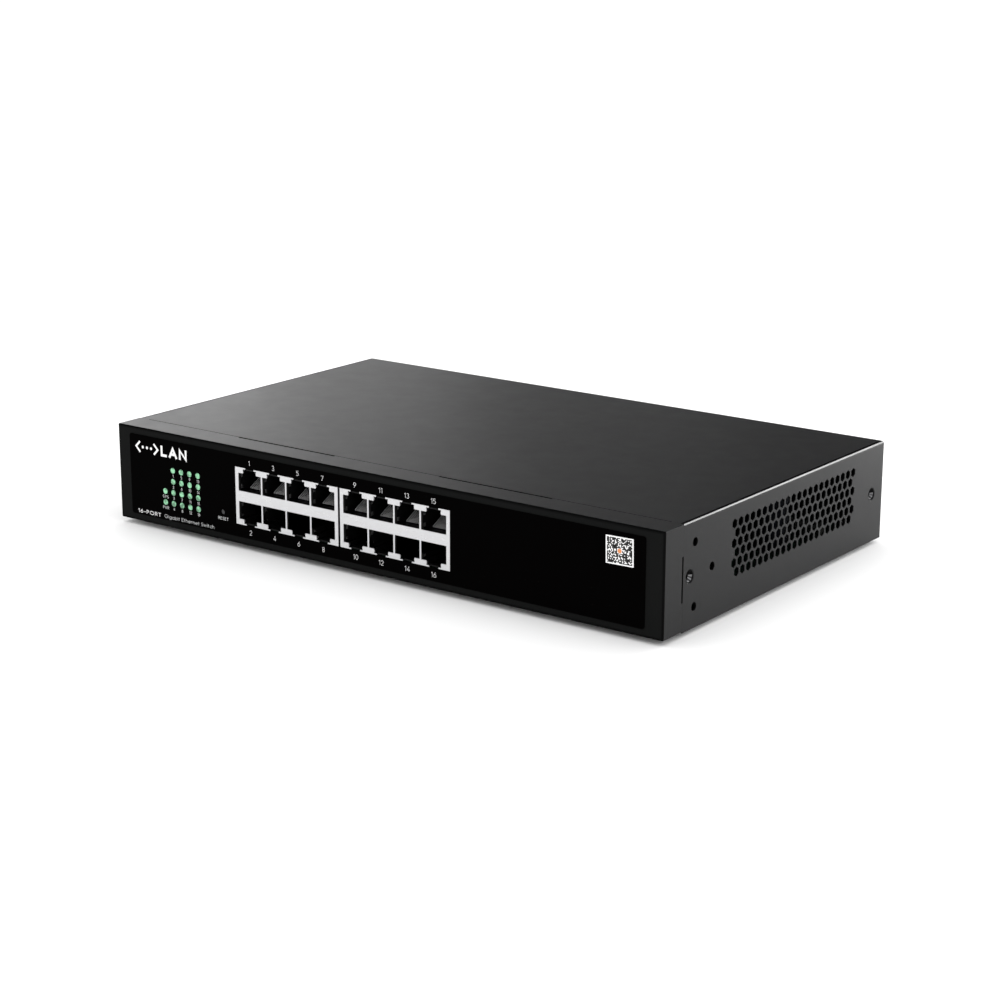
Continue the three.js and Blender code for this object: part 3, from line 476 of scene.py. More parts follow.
def make_cover():
    r, t, n = 1.2, SHEET, 3

    def arc(cx, cz, rad, a0, a1):
        return [(cx + rad * math.cos(math.radians(a0 + (a1 - a0) * i / n)), cz + rad * math.sin(math.radians(a0 + (a1 - a0) * i / n))) for i in range(n + 1)]

    bend = [(0.0, 0.95), (0.06, 0.60), (0.53, 0.13), (1.9, 0.0)]
    out = [(HALF, -DROP)] + [(HALF - a, CASE_H - b) for a, b in bend] + [(-HALF + a, CASE_H - b) for a, b in bend[::-1]] + [(-HALF, -DROP)]
    inn = [(-HALF + t, -DROP)] + arc(-HALF + r, CASE_H - r, r - t, 180, 90) + arc(HALF - r, CASE_H - r, r - t, 90, 0) + [(HALF - t, -DROP)]
    cover = Shape().prism("xz", out + inn, LIP + 0.03, CASE_D).make("cover_shell")
    cut = Shape()
    cut.box(-141, 141, 10, LIP + 0.38, 41, CASE_H + 1)
    # hexagonal vents with a fine broken edge outside and inside
    rh, pitch = 3.5 / math.sqrt(3), 4.76
    step = pitch * math.sqrt(3) / 2
    c = 0.16
    for row in range(6):
        for k in range(22 - row % 2):
            y, z = 51.9 + (k + (row % 2) / 2) * pitch, 35.5 - row * step
            for m in (-1, 1):
                big, small = hexagon(y, z, rh + c), hexagon(y, z, rh)
                tiny = hexagon(y, z, rh + c + 0.5)
                xs = [HALF + 0.5, HALF - c, HALF - t + c, HALF - t - 0.5]
                rings = [tiny, small, small, tiny]
                v = [(m * x, p[0], p[1]) for x, ring in zip(xs, rings) for p in ring]
                f = [list(range(6)), [18 + i for i in range(6)][::-1]]
                f += [[j * 6 + i, (j + 1) * 6 + i, (j + 1) * 6 + (i + 1) % 6, j * 6 + (i + 1) % 6] for j in range(3) for i in range(6)]
                cut.add(v, f)
    for m in (-1, 1):
        for y, z in EAR_HOLES:
            prof = [(m * (HALF + 1), 1.8 + 1.12), (m * (HALF - 0.12), 1.8), (m * (HALF - 3), 1.8)]
            cut.rings("x", (y, z), prof, 40)
    cover = boolean(cover, cut.make("cut"))
    # formed dimples for the countersunk screws
    add = Shape()
    for m in (-1, 1):
        for y, z in SIDE_SCREWS:
            add.rings("x", (y, z), [(m * (HALF - 0.3), 3.6), (m * (HALF - t), 3.6), (m * (HALF - 2.05), 2.3)], 48)
    cover = boolean(cover, add.make("add"), "UNION")
    cut = Shape()
    for m in (-1, 1):
        for y, z in SIDE_SCREWS:
            prof = [(m * (HALF + 0.5), 3.5), (m * HALF, 3.08), (m * (HALF - 0.08), 2.96), (m * (HALF - 0.25), 2.84), (m * (HALF - 1.5), 1.72), (m * (HALF - 3.0), 1.70)]
            cut.rings("x", (y, z), prof, 48)
    cover = boolean(cover, cut.make("cut2"))
    # tongues that hook under the tray's top lip
    add = Shape()
    for a, b in ((-139, -87), (-27.5, 25.5), (87, 139)):
        add.prism("yz", [(8.5, CASE_H - 1.85), (8.5, CASE_H - 1.05), (14.4, CASE_H - 1.05), (14.4, CASE_H - 0.4), (15.6, CASE_H - 0.4), (15.6, CASE_H - 1.85)], a, b)
    cover = boolean(cover, add.make("add2"), "UNION")
    tidy(cover)
    me = cover.data
    me.shade_smooth()
    me.set_sharp_from_angle(angle=math.radians(5))
    w = cover.modifiers.new("wn", "WEIGHTED_NORMAL")
    w.keep_sharp, w.weight = True, 50
    me.materials.clear()
    for mt in (PAINT, PAINT_BEND_LIT, PAINT_SHADE_IN, PAINT_SIDE_SHADED):
        me.materials.append(mt)
    for p in me.polygons:
        x, y, z = p.center.x * 1000, p.center.y * 1000 - YF, p.center.z * 1000 - ZF
        # the bend facets take the lit copy: painted highlight
        if p.normal.z > 0.2 and abs(p.normal.x) > 0.2 and z > CASE_H - 2 and abs(x) > HALF - 2:
            p.material_index = 1
        # the nearly flat first facet of each bend takes the near-black copy: a painted dark line above the highlight
        # (painted shade)
        elif p.normal.z > 0.98 and 0.06 < abs(p.normal.x) < 0.2 and z > CASE_H - 0.3:
            p.material_index = 2
        # the flat sides take the less reflective copy: painted shade
        elif abs(p.normal.x) > 0.9 and abs(x) > HALF - 0.05:
            p.material_index = 3
        # inner faces and the seam's edge faces take the near-black copy: painted shade
        elif abs(x) < HALF - 0.14 and z < CASE_H - 0.14 and y < CASE_D - 0.1 and not any(math.hypot(y - a, z - b) < 3.4 for a, b in SIDE_SCREWS):
            p.material_index = 2
    return done(cover, [PAINT, PAINT_BEND_LIT, PAINT_SHADE_IN, PAINT_SIDE_SHADED], replaces=["top_cover"])


# ------------------------------------------------------------------ tray with the front panel
def make_tray():
    z0 = LIFT
    s = Shape().box(-HALF, HALF, 0, LIP, z0, CASE_H)
    tray = s.make("tray_shell")
    bm = bmesh.new()
    bm.from_mesh(tray.data)
    yb = W(0, LIP, 0).y
    edges = [e for e in bm.edges if not all(abs(v.co.y - yb) < 1e-5 for v in e.verts)]
    bmesh.ops.bevel(bm, geom=edges, offset=0.0005, segments=5, profile=0.5, affect="EDGES", clamp_overlap=True)
    bm.to_mesh(tray.data)
    bm.free()
    tray = boolean(tray, Shape().box(-HALF + SHEET, HALF - SHEET, SHEET, LIP + 5, z0 + SHEET, CASE_H - SHEET).make("c"))
    inner = HALF - 1.0
    for args in (
        (-inner, inner, 3, CASE_D, z0, z0 + SHEET),
        (-inner, inner, CASE_D - SHEET, CASE_D, z0, CASE_H - 1.0),
        (-inner + 2, inner - 2, CASE_D - 9, CASE_D - 0.2, CASE_H - 1.8, CASE_H - 1.0),
    ):
        tray = boolean(tray, Shape().box(*args).make("a"), "UNION")
    for m in (-1, 1):
        for y0, y1, zt in ((14.6, 44, 41), (160, CASE_D - 0.1, 41), (43.9, 160.1, 8)):
            tray = boolean(tray, Shape().box(*(sorted((m * 144.0, m * 144.8))), y0, y1, z0 + 0.1, zt).make("a"), "UNION")
    cut = Shape()
    cut.box(-85, -29.2, LIP - 0.85, LIP + 1, CASE_H - 2, CASE_H + 1)
    cut.box(27.6, 85, LIP - 0.85, LIP + 1, CASE_H - 2, CASE_H + 1)
    for m in (-1, 1):
        cut.box(*sorted((m * (HALF - 1.5), m * (HALF + 1))), LIP - 0.95, LIP + 0.5, 12, 31)
    x0, x1 = JACKS["left"][0], JACKS["right"][1]
    cut.box(x0 - 0.25, x1 + 0.25, -1, 2, JZ0 - 0.25, JZ1 + 0.25)
    cut.rings("y", (RESET_X, RESET_Z), [(-1, 1.3), (2, 1.3)], 32)
    for i, x in enumerate(LED_X):
        for z in LED_Z[0 if i else 2:]:
            cut.rings("y", (x, z), [(-1, 1.65), (2, 1.65)], 24)
    cut.rings("y", (72, 22), [(CASE_D - 3, 2.1), (CASE_D + 2, 2.1)], 32)
    cut.box(104 - 13.9, 104 + 13.9, CASE_D - 3, CASE_D + 2, 22 - 10.1, 22 + 10.1)
    cut.prism("xz", round_rect(-112 - 3.5, -112 + 3.5, 22 - 1.5, 22 + 1.5, 1, 6), CASE_D - 3, CASE_D + 2)
    tray = boolean(tray, cut.make("cut"))
    cut = Shape()
    for y, z in SIDE_SCREWS:
        cut.rings("x", (y, z), [(-146, 1.4), (146, 1.4)], 16)
    for y, z in EAR_HOLES:
        cut.rings("x", (y, z), [(-146, 1.8), (146, 1.8)], 24)
    tray = boolean(tray, cut.make("cut"))
    # stand-offs under the boards, pressed up from the floor
    add, cut = Shape(), Shape()
    for x, y in [(-134, 9), (-134, 104), (46, 104), (47.8, 33), (66.5, 71), (137.5, 161.5), (66.5, 161.5), (137.5, 71)]:
        add.rings("z", (x, y), [(z0 + 0.4, 4.6), (z0 + 1.1, 4.2), (6.6, 3.3), (7.15, 3.0)], 32)
        cut.rings("z", (x, y), [(z0 - 1, 1.35), (9, 1.35)], 20)
    tray = boolean(tray, add.make("a"), "UNION")
    tray = boolean(tray, cut.make("c"))
    tidy(tray)
    me = tray.data
    me.materials.clear()
    for m in (PAINT, PAINT_FRONT, PAINT_SHADE_IN, PAINT_FOLD_SHADE, PAINT_SIDE_SHADED):
        me.materials.append(m)
    for p in me.polygons:
        x, y, z = p.center.x * 1000, p.center.y * 1000 - YF, p.center.z * 1000 - ZF
        outer = abs(x) > HALF - 0.76 or z > CASE_H - 0.76 or z < z0 + 0.76 or y < 0.05 or y > CASE_D - 0.05
        slit = LIP - 1.0 < y < LIP + 0.1 and p.normal.y > -0.5 and 11.9 < z < 31.1 and abs(x) > HALF - 1
        if p.normal.y < -0.93 and y < 0.3:
            p.material_index = 1
        # inner faces and the seam slits take the near-black copy: painted shade
        elif not outer or slit:
            p.material_index = 2
        # the front's rounded fold faces take the dark fold copy: painted shade
        elif p.normal.y < -0.12 and y < 0.8:
            p.material_index = 3
        # the flat sides take the less reflective copy: painted shade
        elif abs(p.normal.x) > 0.9 and abs(x) > HALF - 0.1:
            p.material_index = 4
    m = tray.modifiers.new("edge", "BEVEL")
    m.width, m.segments, m.limit_method, m.angle_limit = 0.00008, 2, "ANGLE", math.radians(50)
    apply_mods(tray)
    me = tray.data
    me.shade_smooth()
    me.set_sharp_from_angle(angle=math.radians(40))
    w = tray.modifiers.new("wn", "WEIGHTED_NORMAL")
    w.keep_sharp, w.weight = True, 50
    return done(tray, [PAINT, PAINT_FRONT, PAINT_SHADE_IN, PAINT_FOLD_SHADE, PAINT_SIDE_SHADED], replaces=["chassis_tray"])


# ------------------------------------------------------------------ front film, print and label
def make_film():
    s = Shape().prism("xz", round_rect(-139.7, 138.4, 3.2, 40.6, 1.2, 8), -0.28, -0.03).make("front_film")
    cut = Shape()
    cut.box(JACKS["left"][0] - 0.08, JACKS["right"][1] + 0.08, -2, 1, JZ0 - 0.02, JZ1 + 0.06)
    cut.rings("y", (RESET_X, RESET_Z), [(-1, 1.25), (1, 1.25)], 40)
    for i, x in enumerate(LED_X):
        for z in LED_Z[0 if i else 2:]:
            cut.rings("y", (x, z), [(-1, 1.42), (1, 1.42)], 40)
    s = tidy(boolean(s, cut.make("cut")))
    soften(s, 0.05, 2, 45, 45)
    return done(s, FILM, replaces=["front_overlay"])


def arc(cx, cy, rx, ry, a0, a1, n=12):
    return [(cx + rx * math.cos(math.radians(a0 + (a1 - a0) * i / n)), cy + ry * math.sin(math.radians(a0 + (a1 - a0) * i / n))) for i in range(n + 1)]


# Plain single-line letterforms: baseline 0, capital height 1. A stroke whose ends meet is closed.
BOWL = arc(0.33, 0.33, 0.31, 0.33, 0, 360, 20)
GLYPHS = {
    "0": [arc(0.31, 0.5, 0.31, 0.5, 90, 450, 24)],
    "1": [[(0.0, 0.78), (0.26, 1.0), (0.26, 0.0)]],
    "2": [arc(0.28, 0.71, 0.27, 0.29, 165, -38, 10) + [(0.0, 0.0), (0.57, 0.0)]],
    "3": [arc(0.27, 0.76, 0.24, 0.24, 150, -80, 9) + arc(0.27, 0.26, 0.28, 0.26, 80, -150, 10)],
    "4": [[(0.46, 0.0), (0.46, 1.0), (0.0, 0.26), (0.62, 0.26)]],
    "5": [[(0.52, 1.0), (0.1, 1.0), (0.05, 0.56)] + arc(0.26, 0.32, 0.29, 0.32, 112, -145, 11)],
    "6": [[(0.43, 1.0), (0.07, 0.45)], arc(0.3, 0.3, 0.3, 0.3, 150, 510, 22)],
    "7": [[(0.0, 1.0), (0.54, 1.0), (0.16, 0.0)]],
    "8": [arc(0.29, 0.76, 0.22, 0.24, 0, 360, 18), arc(0.29, 0.26, 0.28, 0.26, 0, 360, 20)],
    "9": [[(0.17, 0.0), (0.53, 0.55)], arc(0.3, 0.7, 0.3, 0.3, -30, 330, 22)],
    "-": [[(0.0, 0.42), (0.36, 0.42)]],
    "A": [[(0.0, 0.0), (0.37, 1.0), (0.74, 0.0)], [(0.13, 0.33), (0.61, 0.33)]],
    "E": [[(0.5, 0.0), (0.0, 0.0), (0.0, 1.0), (0.5, 1.0)], [(0.0, 0.52), (0.44, 0.52)]],
    "G": [arc(0.5, 0.5, 0.5, 0.5, 45, 338, 18) + [(0.98, 0.48), (0.56, 0.48)]],
    "L": [[(0.0, 1.0), (0.0, 0.0), (0.5, 0.0)]],
    "N": [[(0.0, 0.0), (0.0, 1.0), (0.68, 0.0), (0.68, 1.0)]],
    "O": [arc(0.5, 0.5, 0.5, 0.5, 0, 360, 28)],
    "P": [[(0.0, 0.0), (0.0, 1.0), (0.27, 1.0)] + arc(0.27, 0.74, 0.26, 0.26, 80, -90, 8) + [(0.0, 0.48)]],
    "R": [[(0.0, 0.0), (0.0, 1.0), (0.27, 1.0)] + arc(0.27, 0.74, 0.26, 0.26, 80, -90, 8) + [(0.0, 0.48)], [(0.25, 0.48), (0.55, 0.0)]],
    "S": [arc(0.28, 0.745, 0.24, 0.255, 35, 262, 9) + arc(0.28, 0.245, 0.27, 0.245, 82, -145, 9)],
    "T": [[(0.0, 1.0), (0.6, 1.0)], [(0.3, 1.0), (0.3, 0.0)]],
    "W": [[(0.0, 1.0), (0.25, 0.0), (0.5, 0.92), (0.75, 0.0), (1.0, 1.0)]],
    "Y": [[(0.0, 1.0), (0.32, 0.46), (0.64, 1.0)], [(0.32, 0.46), (0.32, 0.0)]],
    "a": [BOWL, [(0.64, 0.68), (0.64, 0.0)]],
    "b": [BOWL, [(0.02, 1.02), (0.02, 0.0)]],
    "c": [arc(0.33, 0.33, 0.31, 0.34, 48, 312, 12)],
    "e": [[(0.03, 0.34), (0.64, 0.34)] + arc(0.33, 0.33, 0.31, 0.34, 12, 312, 13)],
    "g": [BOWL, [(0.64, 0.68), (0.64, -0.02)] + arc(0.34, -0.02, 0.3, 0.27, -8, -150, 7)],
    "h": [[(0.0, 1.02), (0.0, 0.0)], [(0.0, 0.36)] + arc(0.26, 0.38, 0.26, 0.29, 172, 0, 8) + [(0.52, 0.0)]],
    "i": [[(0.04, 0.68), (0.04, 0.0)], [(0.04, 0.88), (0.04, 0.98)]],
    "n": [[(0.0, 0.68), (0.0, 0.0)], [(0.0, 0.36)] + arc(0.26, 0.38, 0.26, 0.29, 172, 0, 8) + [(0.52, 0.0)]],
    "r": [[(0.0, 0.68), (0.0, 0.0)], [(0.0, 0.34)] + arc(0.27, 0.36, 0.27, 0.31, 172, 75, 5)],
    "t": [[(0.15, 0.92), (0.15, 0.0)], [(0.0, 0.68), (0.34, 0.68)]],
    "w": [[(0.0, 0.68), (0.19, 0.0), (0.39, 0.62), (0.59, 0.0), (0.78, 0.68)]],
}


def stroke(shape, pts, w, y0, y1):
    """A ribbon of ink w wide along pts (x, z), as one closed shell between y0 and y1."""
    closed = math.dist(pts[0], pts[-1]) < 1e-6
    if closed:
        pts = pts[:-1]
    n = len(pts)
    if not closed:  # square ends
        (ax, az_), (bx, bz) = pts[0], pts[1]
        d = math.dist(pts[0], pts[1])
        pts = [(ax - (bx - ax) / d * w * 0.4, az_ - (bz - az_) / d * w * 0.4)] + list(pts[1:])
        (ax, az_), (bx, bz) = pts[-1], pts[-2]
        d = math.dist(pts[-1], pts[-2])
        pts = pts[:-1] + [(ax - (bx - ax) / d * w * 0.4, az_ - (bz - az_) / d * w * 0.4)]
    v = []
    for i in range(n):
        a = Vector(pts[i - 1]) if closed or i else None
        b = Vector(pts[i])
        c = Vector(pts[(i + 1) % n]) if closed or i < n - 1 else None
        d1 = (b - a).normalized() if a is not None else (c - b).normalized()
        d2 = (c - b).normalized() if c is not None else d1
        t = (d1 + d2)
        t = t.normalized() if t.length > 1e-6 else d1
        nrm = Vector((-t.y, t.x))
        k = min(1.9, 1.0 / max(0.2, abs(nrm.dot(Vector((-d1.y, d1.x))))))
        o = nrm * (w / 2 * k)
        for y in (y0, y1):
            v += [(b.x + o.x, y, b.y + o.y), (b.x - o.x, y, b.y - o.y)]
    f = []
    for i in range(n if closed else n - 1):
        p, q = 4 * i, 4 * ((i + 1) % n)
        f += [(p, q, q + 1, p + 1), (p + 2, p + 3, q + 3, q + 2), (p, p + 2, q + 2, q), (p + 1, q + 1, q + 3, p + 3)]
    if not closed:
        e = 4 * (n - 1)
        f += [(0, 1, 3, 2), (e, e + 2, e + 3, e + 1)]
    shape.add(v, f)


def lettering(shape, body, x, z, height, weight, align="CENTER", gap=0.24, width=None, y=-0.285, thick=0.012):
    """Printed lettering, a thin raised layer of ink: x is the centre or the left end, z the middle of the capitals."""
    adv, at = [], 0.0
    for ch in body:
        if ch == " ":
            at += 0.42
            adv.append(None)
            continue
        wd = max(px for st in GLYPHS[ch] for px, _ in st)
        adv.append(at)
        at += wd + gap
    total = at - gap
    kx = (width / total) if width else height
    left = x - total * kx / 2 if align == "CENTER" else x
    for ch, a in zip(body, adv):
        if a is None:
            continue
        for k, st in enumerate(GLYPHS[ch]):
            stroke(shape, [(left + (a + px) * kx, z + (pz - 0.5) * height) for px, pz in st], weight, y - thick - 0.0004 * k, y)


def make_print():
    s = Shape()
    n = 1
    for side in ("left", "right"):
        for x in columns(side):
            lettering(s, str(n), x - 0.08, 37.6, 2.1, 0.155, gap=0.32)
            lettering(s, str(n + 1), x - 0.08, 6.1, 2.1, 0.155, gap=0.32)
            n += 2
    done(s.make("print_port_numbers"), INK)
    s = Shape()
    for i, x in enumerate(LED_X):
        rows = LED_Z[0 if i else 2:]
        for j, z in enumerate(rows):
            label = (("SYS", "PWR")[j]) if not i else str(4 * (i - 1) + j + 1)
            lettering(s, label, x + 0.15, z - 2.5, 1.2, 0.16, gap=0.3, width=None if i else 3.5)
    lettering(s, "RESET", RESET_X + 0.35, 9.95, 1.25, 0.16, gap=0.3, width=6.0)
    lettering(s, "Gigabit Ethernet Switch", -119.2, 4.95, 1.5, 0.15, align="LEFT", width=30.4)
    done(s.make("print_fine_labels"), INK_DIM)
    s = Shape()
    lettering(s, "16-PORT", -135.9, 4.9, 1.55, 0.26, align="LEFT", gap=0.34, width=14.2)
    lettering(s, "LAN", -119.7, 35.15, 3.9, 1.18, align="LEFT", gap=0.42, width=14.9)
    # generic mark: two chevrons with three dots between them
    for m in (-1, 1):
        cx = -128.9 + m * 6.75
        stroke(s, [(cx - m * 2.2, 35.15 + 2.2), (cx, 35.15), (cx - m * 2.2, 35.15 - 2.2)], 0.95, -0.297, -0.285)
    for k in (-1, 0, 1):
        s.prism("xz", disc(-128.9 + k * 2.6, 35.15, 0.66, 24), -0.297, -0.285)
    done(s.make("print_title"), INK)


def make_rear_print():
    """Protective-earth sign beside the earth screw, on the back panel."""
    s = Shape()
    y0, y1 = CASE_D, CASE_D + 0.012

    def line(pts, w, k):
        stroke(s, pts, w, y0, y1 + 0.0004 * k)

    cx, cz = 63.6, 22.0
    ring = [(cx + 2.1 * math.cos(2 * math.pi * i / 28), cz + 2.1 * math.sin(2 * math.pi * i / 28)) for i in range(28)]
    line(ring + [ring[0]], 0.24, 0)
    line([(cx, cz + 1.35), (cx, cz)], 0.24, 1)
    for k, (hw, dz) in enumerate(((1.25, 0.0), (0.8, -0.5), (0.35, -1.0))):
        line([(cx - hw, cz + dz), (cx + hw, cz + dz)], 0.24, 2 + k)
    done(s.make("print_earth_sign"), INK_DIM)


def make_label():
    cx, cz, w, h, tilt = 126.5, 32.9, 12.9, 11.4, math.radians(1.2)
    y0 = -0.30

    def turn(x, z):
        return (cx + x * math.cos(tilt) - z * math.sin(tilt) * -1 * -1, cz + z * math.cos(tilt) + x * math.sin(tilt))

    def sheet(pts, a, b):
        return ([turn(*p) for p in pts], a, b)

    s = Shape().prism("xz", [turn(*p) for p in round_rect(-w / 2, w / 2, -h / 2, h / 2, 0.15, 3)], y0 - 0.105, y0)
    lab = s.make("label_paper_sheet")
    soften(lab, 0.03, 2, 45, 45)
    done(lab, PAPER, replaces=["code_label"])
    # a decorative grid of squares that isn't a real code
    rng = random.Random(11)
    n = 25
    cell, row = 11.7 / n, 10.3 / n
    grid = [[rng.random() < 0.72 for _ in range(n)] for _ in range(n)]
    mid = n // 2
    for i in range(n):
        for j in range(n):
            if math.hypot(i - mid, j - mid) <= 2.9:
                grid[i][j] = False
    s = Shape()
    for i in range(n):
        j = 0
        while j < n:
            if not grid[i][j]:
                j += 1
                continue
            k = j
            while k < n and grid[i][k]:
                k += 1
            x0, x1 = (j - n / 2) * cell, (k - n / 2) * cell
            z1, z0 = (n / 2 - i) * row - 0.004, (n / 2 - i - 1) * row + 0.004
            s.prism("xz", [turn(x0, z0), turn(x1, z0), turn(x1, z1), turn(x0, z1)], y0 - 0.117, y0 - 0.1055)
            j = k
    done(s.make("label_pattern"), LABEL_BLACK)
    s = Shape().prism("xz", [turn(*p) for p in disc(0, 0, 0.95, 20)], y0 - 0.117, y0 - 0.1055)
    done(s.make("label_spot"), LABEL_ORANGE)


# ------------------------------------------------------------------ jack blocks
def mouth(x, up=True, grow=0.0, top=None, half=PORT_HALF):
    w, a, b = half + grow, L1H + grow, L2H + grow
    top = JZ1 + 1 if top is None else top
    pts = [(-w, FLOOR_UP - grow), (w, FLOOR_UP - grow), (w, CEIL_UP + grow), (a, CEIL_UP + grow), (a, L1T + grow),
           (b, L1T + grow), (b, top), (-b, top), (-b, L1T + grow), (-a, L1T + grow), (-a, CEIL_UP + grow), (-w, CEIL_UP + grow)]
    if not up:
        pts = [(px, 2 * MID - pz) for px, pz in pts][::-1]
    return [(x + px, pz) for px, pz in pts]


def make_jacks():
    for side in ("left", "right"):
        x0, x1, y0, y1, z0, z1 = JACKS[side]
        t = 0.3
        sh = Shape().box(x0, x1, y0, y1, z0, z1).make("shield_" + side)
        sh = boolean(sh, Shape().box(x0 + t, x1 - t, y0 + t, y1 + 2, z0 + t, z1 - t).make("c"))
        sh = boolean(sh, Shape().box(x0 + 1, x1 - 1, 3, y1 + 2, z0 - 1, z0 + 2).make("c"))
        cut = Shape()
        for x in columns(side):
            cut.prism("xz", mouth(x), y0 - 1, y0 + 3)
            cut.prism("xz", mouth(x, False), y0 - 1, y0 + 3)
        sh = boolean(sh, cut.make("c"))
        tidy(sh)
        # earthing fingers along the top edge between the ports, and folded tabs inside each mouth
        soften(sh, 0.1, 3, 50, 60)
        done(sh, NICKEL, replaces=["jack_shield_" + side])
        add, tabs = Shape(), Shape()
        cols = columns(side)
        for a, b in zip(cols, cols[1:]):
            m = (a + b) / 2
            add.prism("yz", [(y0 + 0.05, z1 - 0.05), (y0 + 0.35, z1 + 0.12), (y0 + 1.4, z1 + 0.2), (y0 + 2.4, z1 + 0.02), (y0 + 2.4, z1 - 0.15)], m - 1.3, m + 1.3)
        for x in cols:
            for up in (1, -1):
                for s_ in (-1, 1):
                    for za, zb in ((25.3, 27.1), (30.4, 31.6)):
                        if up < 0:
                            za, zb = 2 * MID - zb, 2 * MID - za
                        xs = sorted((x + s_ * (CAVITY_HALF + 0.02), x + s_ * (CAVITY_HALF - 0.14)))
                        tabs.box(xs[0], xs[1], y0 + 1.1, y0 + 2.3, za, zb)
                    za, zb = sorted((32.75, 34.0)) if up > 0 else sorted((2 * MID - 32.75, 2 * MID - 34.0))
                    xs = sorted((x + s_ * (L1H - 0.02), x + s_ * (L1H - 0.2)))
                    add.box(xs[0], xs[1], y0 + 0.12, y0 + 1.3, za, zb)
        fin = add.make("shield_fingers_" + side)
        soften(fin, 0.05, 2, 35, 40)
        done(fin, NICKEL)
        fin = tabs.make("shield_tabs_" + side)
        soften(fin, 0.05, 2, 35, 40)
        done(fin, TAB)

        h = 0.4
        ho = Shape().box(x0 + h, x1 - h, y0 + h, y1 - 1, z0 + h, z1 - h).make("housing_" + side)
        cut = Shape()
        for x in columns(side):
            cut.prism("xz", mouth(x, True, -0.1, z1 - h - 0.7, CAVITY_HALF + 0.1), y0 - 1, 14.2)
            cut.prism("xz", mouth(x, False, -0.1, z1 - h - 0.7, CAVITY_HALF + 0.1), y0 - 1, 14.2)
        ho = boolean(ho, cut.make("c"))
        cut = Shape()
        for x in columns(side):
            cut.box(x - 5.4, x + 5.4, 15.6, y1 + 2, 12.2, 32.4)
            # eight narrow channels in each floor that the wires lie in
            for i in range(8):
                xw = x + (i - 3.5) * 1.016
                cut.box(xw - 0.36, xw + 0.36, 3.6, 15.7, FLOOR_UP - 0.55, FLOOR_UP + 0.55)
                cut.box(xw - 0.36, xw + 0.36, 3.6, 15.7, 2 * MID - FLOOR_UP - 0.55, 2 * MID - FLOOR_UP + 0.55)
        ho = boolean(ho, cut.make("c"))
        tidy(ho)
        soften(ho, 0.12, 2, 60, 50)
        done(ho, JACK_PLASTIC, replaces=["jack_housing_" + side])


def ribbon(path, t):
    """Closed outline of a strip of thickness t along a path in (y, z)."""
    left, right = [], []
    for i, (y, z) in enumerate(path):
        a = Vector(path[max(0, i - 1)])
        b = Vector(path[min(len(path) - 1, i + 1)])
        d = (b - a).normalized()
        n = Vector((-d.y, d.x)) * t / 2
        left.append((y + n.x, z + n.y))
        right.append((y - n.x, z - n.y))
    return left + right[::-1]


def make_contacts():
    z_floor, r = 24.88, 0.33
    path = [(15.7, z_floor), (10, z_floor), (6.0, z_floor), (4.6, z_floor)]
    cy, cz = 4.45, z_floor + r
    for i in range(7):  # the nose: down, forward and back up over itself
        ang = math.radians(-90 - (152 * i / 6))
        path.append((cy + r * math.cos(ang), cz + r * math.sin(ang)))
    yn, zn = path[-1]
    slope = math.tan(math.radians(28))
    for d in (2.0, 4.0, 6.0):
        path.append((yn + d, zn + d * slope))
    path.append((yn + 6.5, zn + 6.25 * slope))
    path.append((yn + 6.8, zn + 6.05 * slope))
    n = 1
    for side in ("left", "right"):
        for x in columns(side):
            s = Shape()
            up = ribbon(path, 0.24)
            dn = [(y, 2 * MID - z) for y, z in up][::-1]
            for i in range(8):
                xw = x + (i - 3.5) * 1.016
                s.prism("yz", up, xw - 0.13, xw + 0.13)
                s.prism("yz", dn, xw - 0.13, xw + 0.13)
            name = f"{n:02d}_{n + 1:02d}"
            o = s.make("contact_wires_" + name)
            soften(o, 0.05, 2, 50, 50)
            done(o, CONTACT, replaces=["contact_insert_" + name])
            c = Shape().box(x - 5.2, x + 5.2, 16, JACKS[side][3] - 1.2, 12.4, 32.2).make("contact_carrier_" + name)
            soften(c, 0.2, 2, 35, 40)
            done(c, JACK_PLASTIC)
            n += 2


# ------------------------------------------------------------------ light pipes
def make_pipes():
    for i, x in enumerate(LED_X):
        rows = LED_Z[0 if i else 2:]
        name = "light_pipe_status" if not i else f"light_pipe_ports_{4 * i - 3:02d}_{4 * i:02d}"
        s = Shape()
        for z in rows:
            prof = [(6.5, 1.34), (-0.2, 1.34)]
            for k in range(1, 7):
                a = math.radians(90 * k / 7)
                prof.append((-0.2 - 0.2 * math.sin(a), 1.34 * math.cos(a) ** 0.6))
            s.rings("y", (x, z), prof, 36)
        lens = s.make("lens_" + name[11:])
        soften(lens, 0, 0, 40, 50)
        done(lens, LED)
        w = Shape().box(x - 1.1, x + 1.1, 5.9, 10, 10.0, rows[0] + 1.45).make("stem_" + name[11:])
        soften(w, 0.2, 2)
        done(w, PIPE, replaces=[name])


# ------------------------------------------------------------------ screws
def phillips(size, depth, taper=0.45):
    """Four-winged recess pointing down -z from z=0.3, in local millimetres: [(verts, faces)] for one cross-shaped solid."""
    w, t = size / 2, size * 0.135
    ring = [(w, -t), (w, t), (t * 1.25, t * 1.25), (t, w), (-t, w), (-t * 1.25, t * 1.25), (-w, t), (-w, -t), (-t * 1.25, -t * 1.25), (-t, -w), (t, -w), (t * 1.25, -t * 1.25)]
    v, f, n = [], [], len(ring)
    for z, k in ((0.4, 1.12), (-depth * 0.45, 0.86), (-depth, taper)):
        v += [(px * k, py * k, z) for px, py in ring]
    for j in (0, 1):
        f += [[j * n + i, j * n + (i + 1) % n, (j + 1) * n + (i + 1) % n, (j + 1) * n + i] for i in range(n)]
    f += [list(range(n))[::-1], [2 * n + i for i in range(n)]]
    return v, f


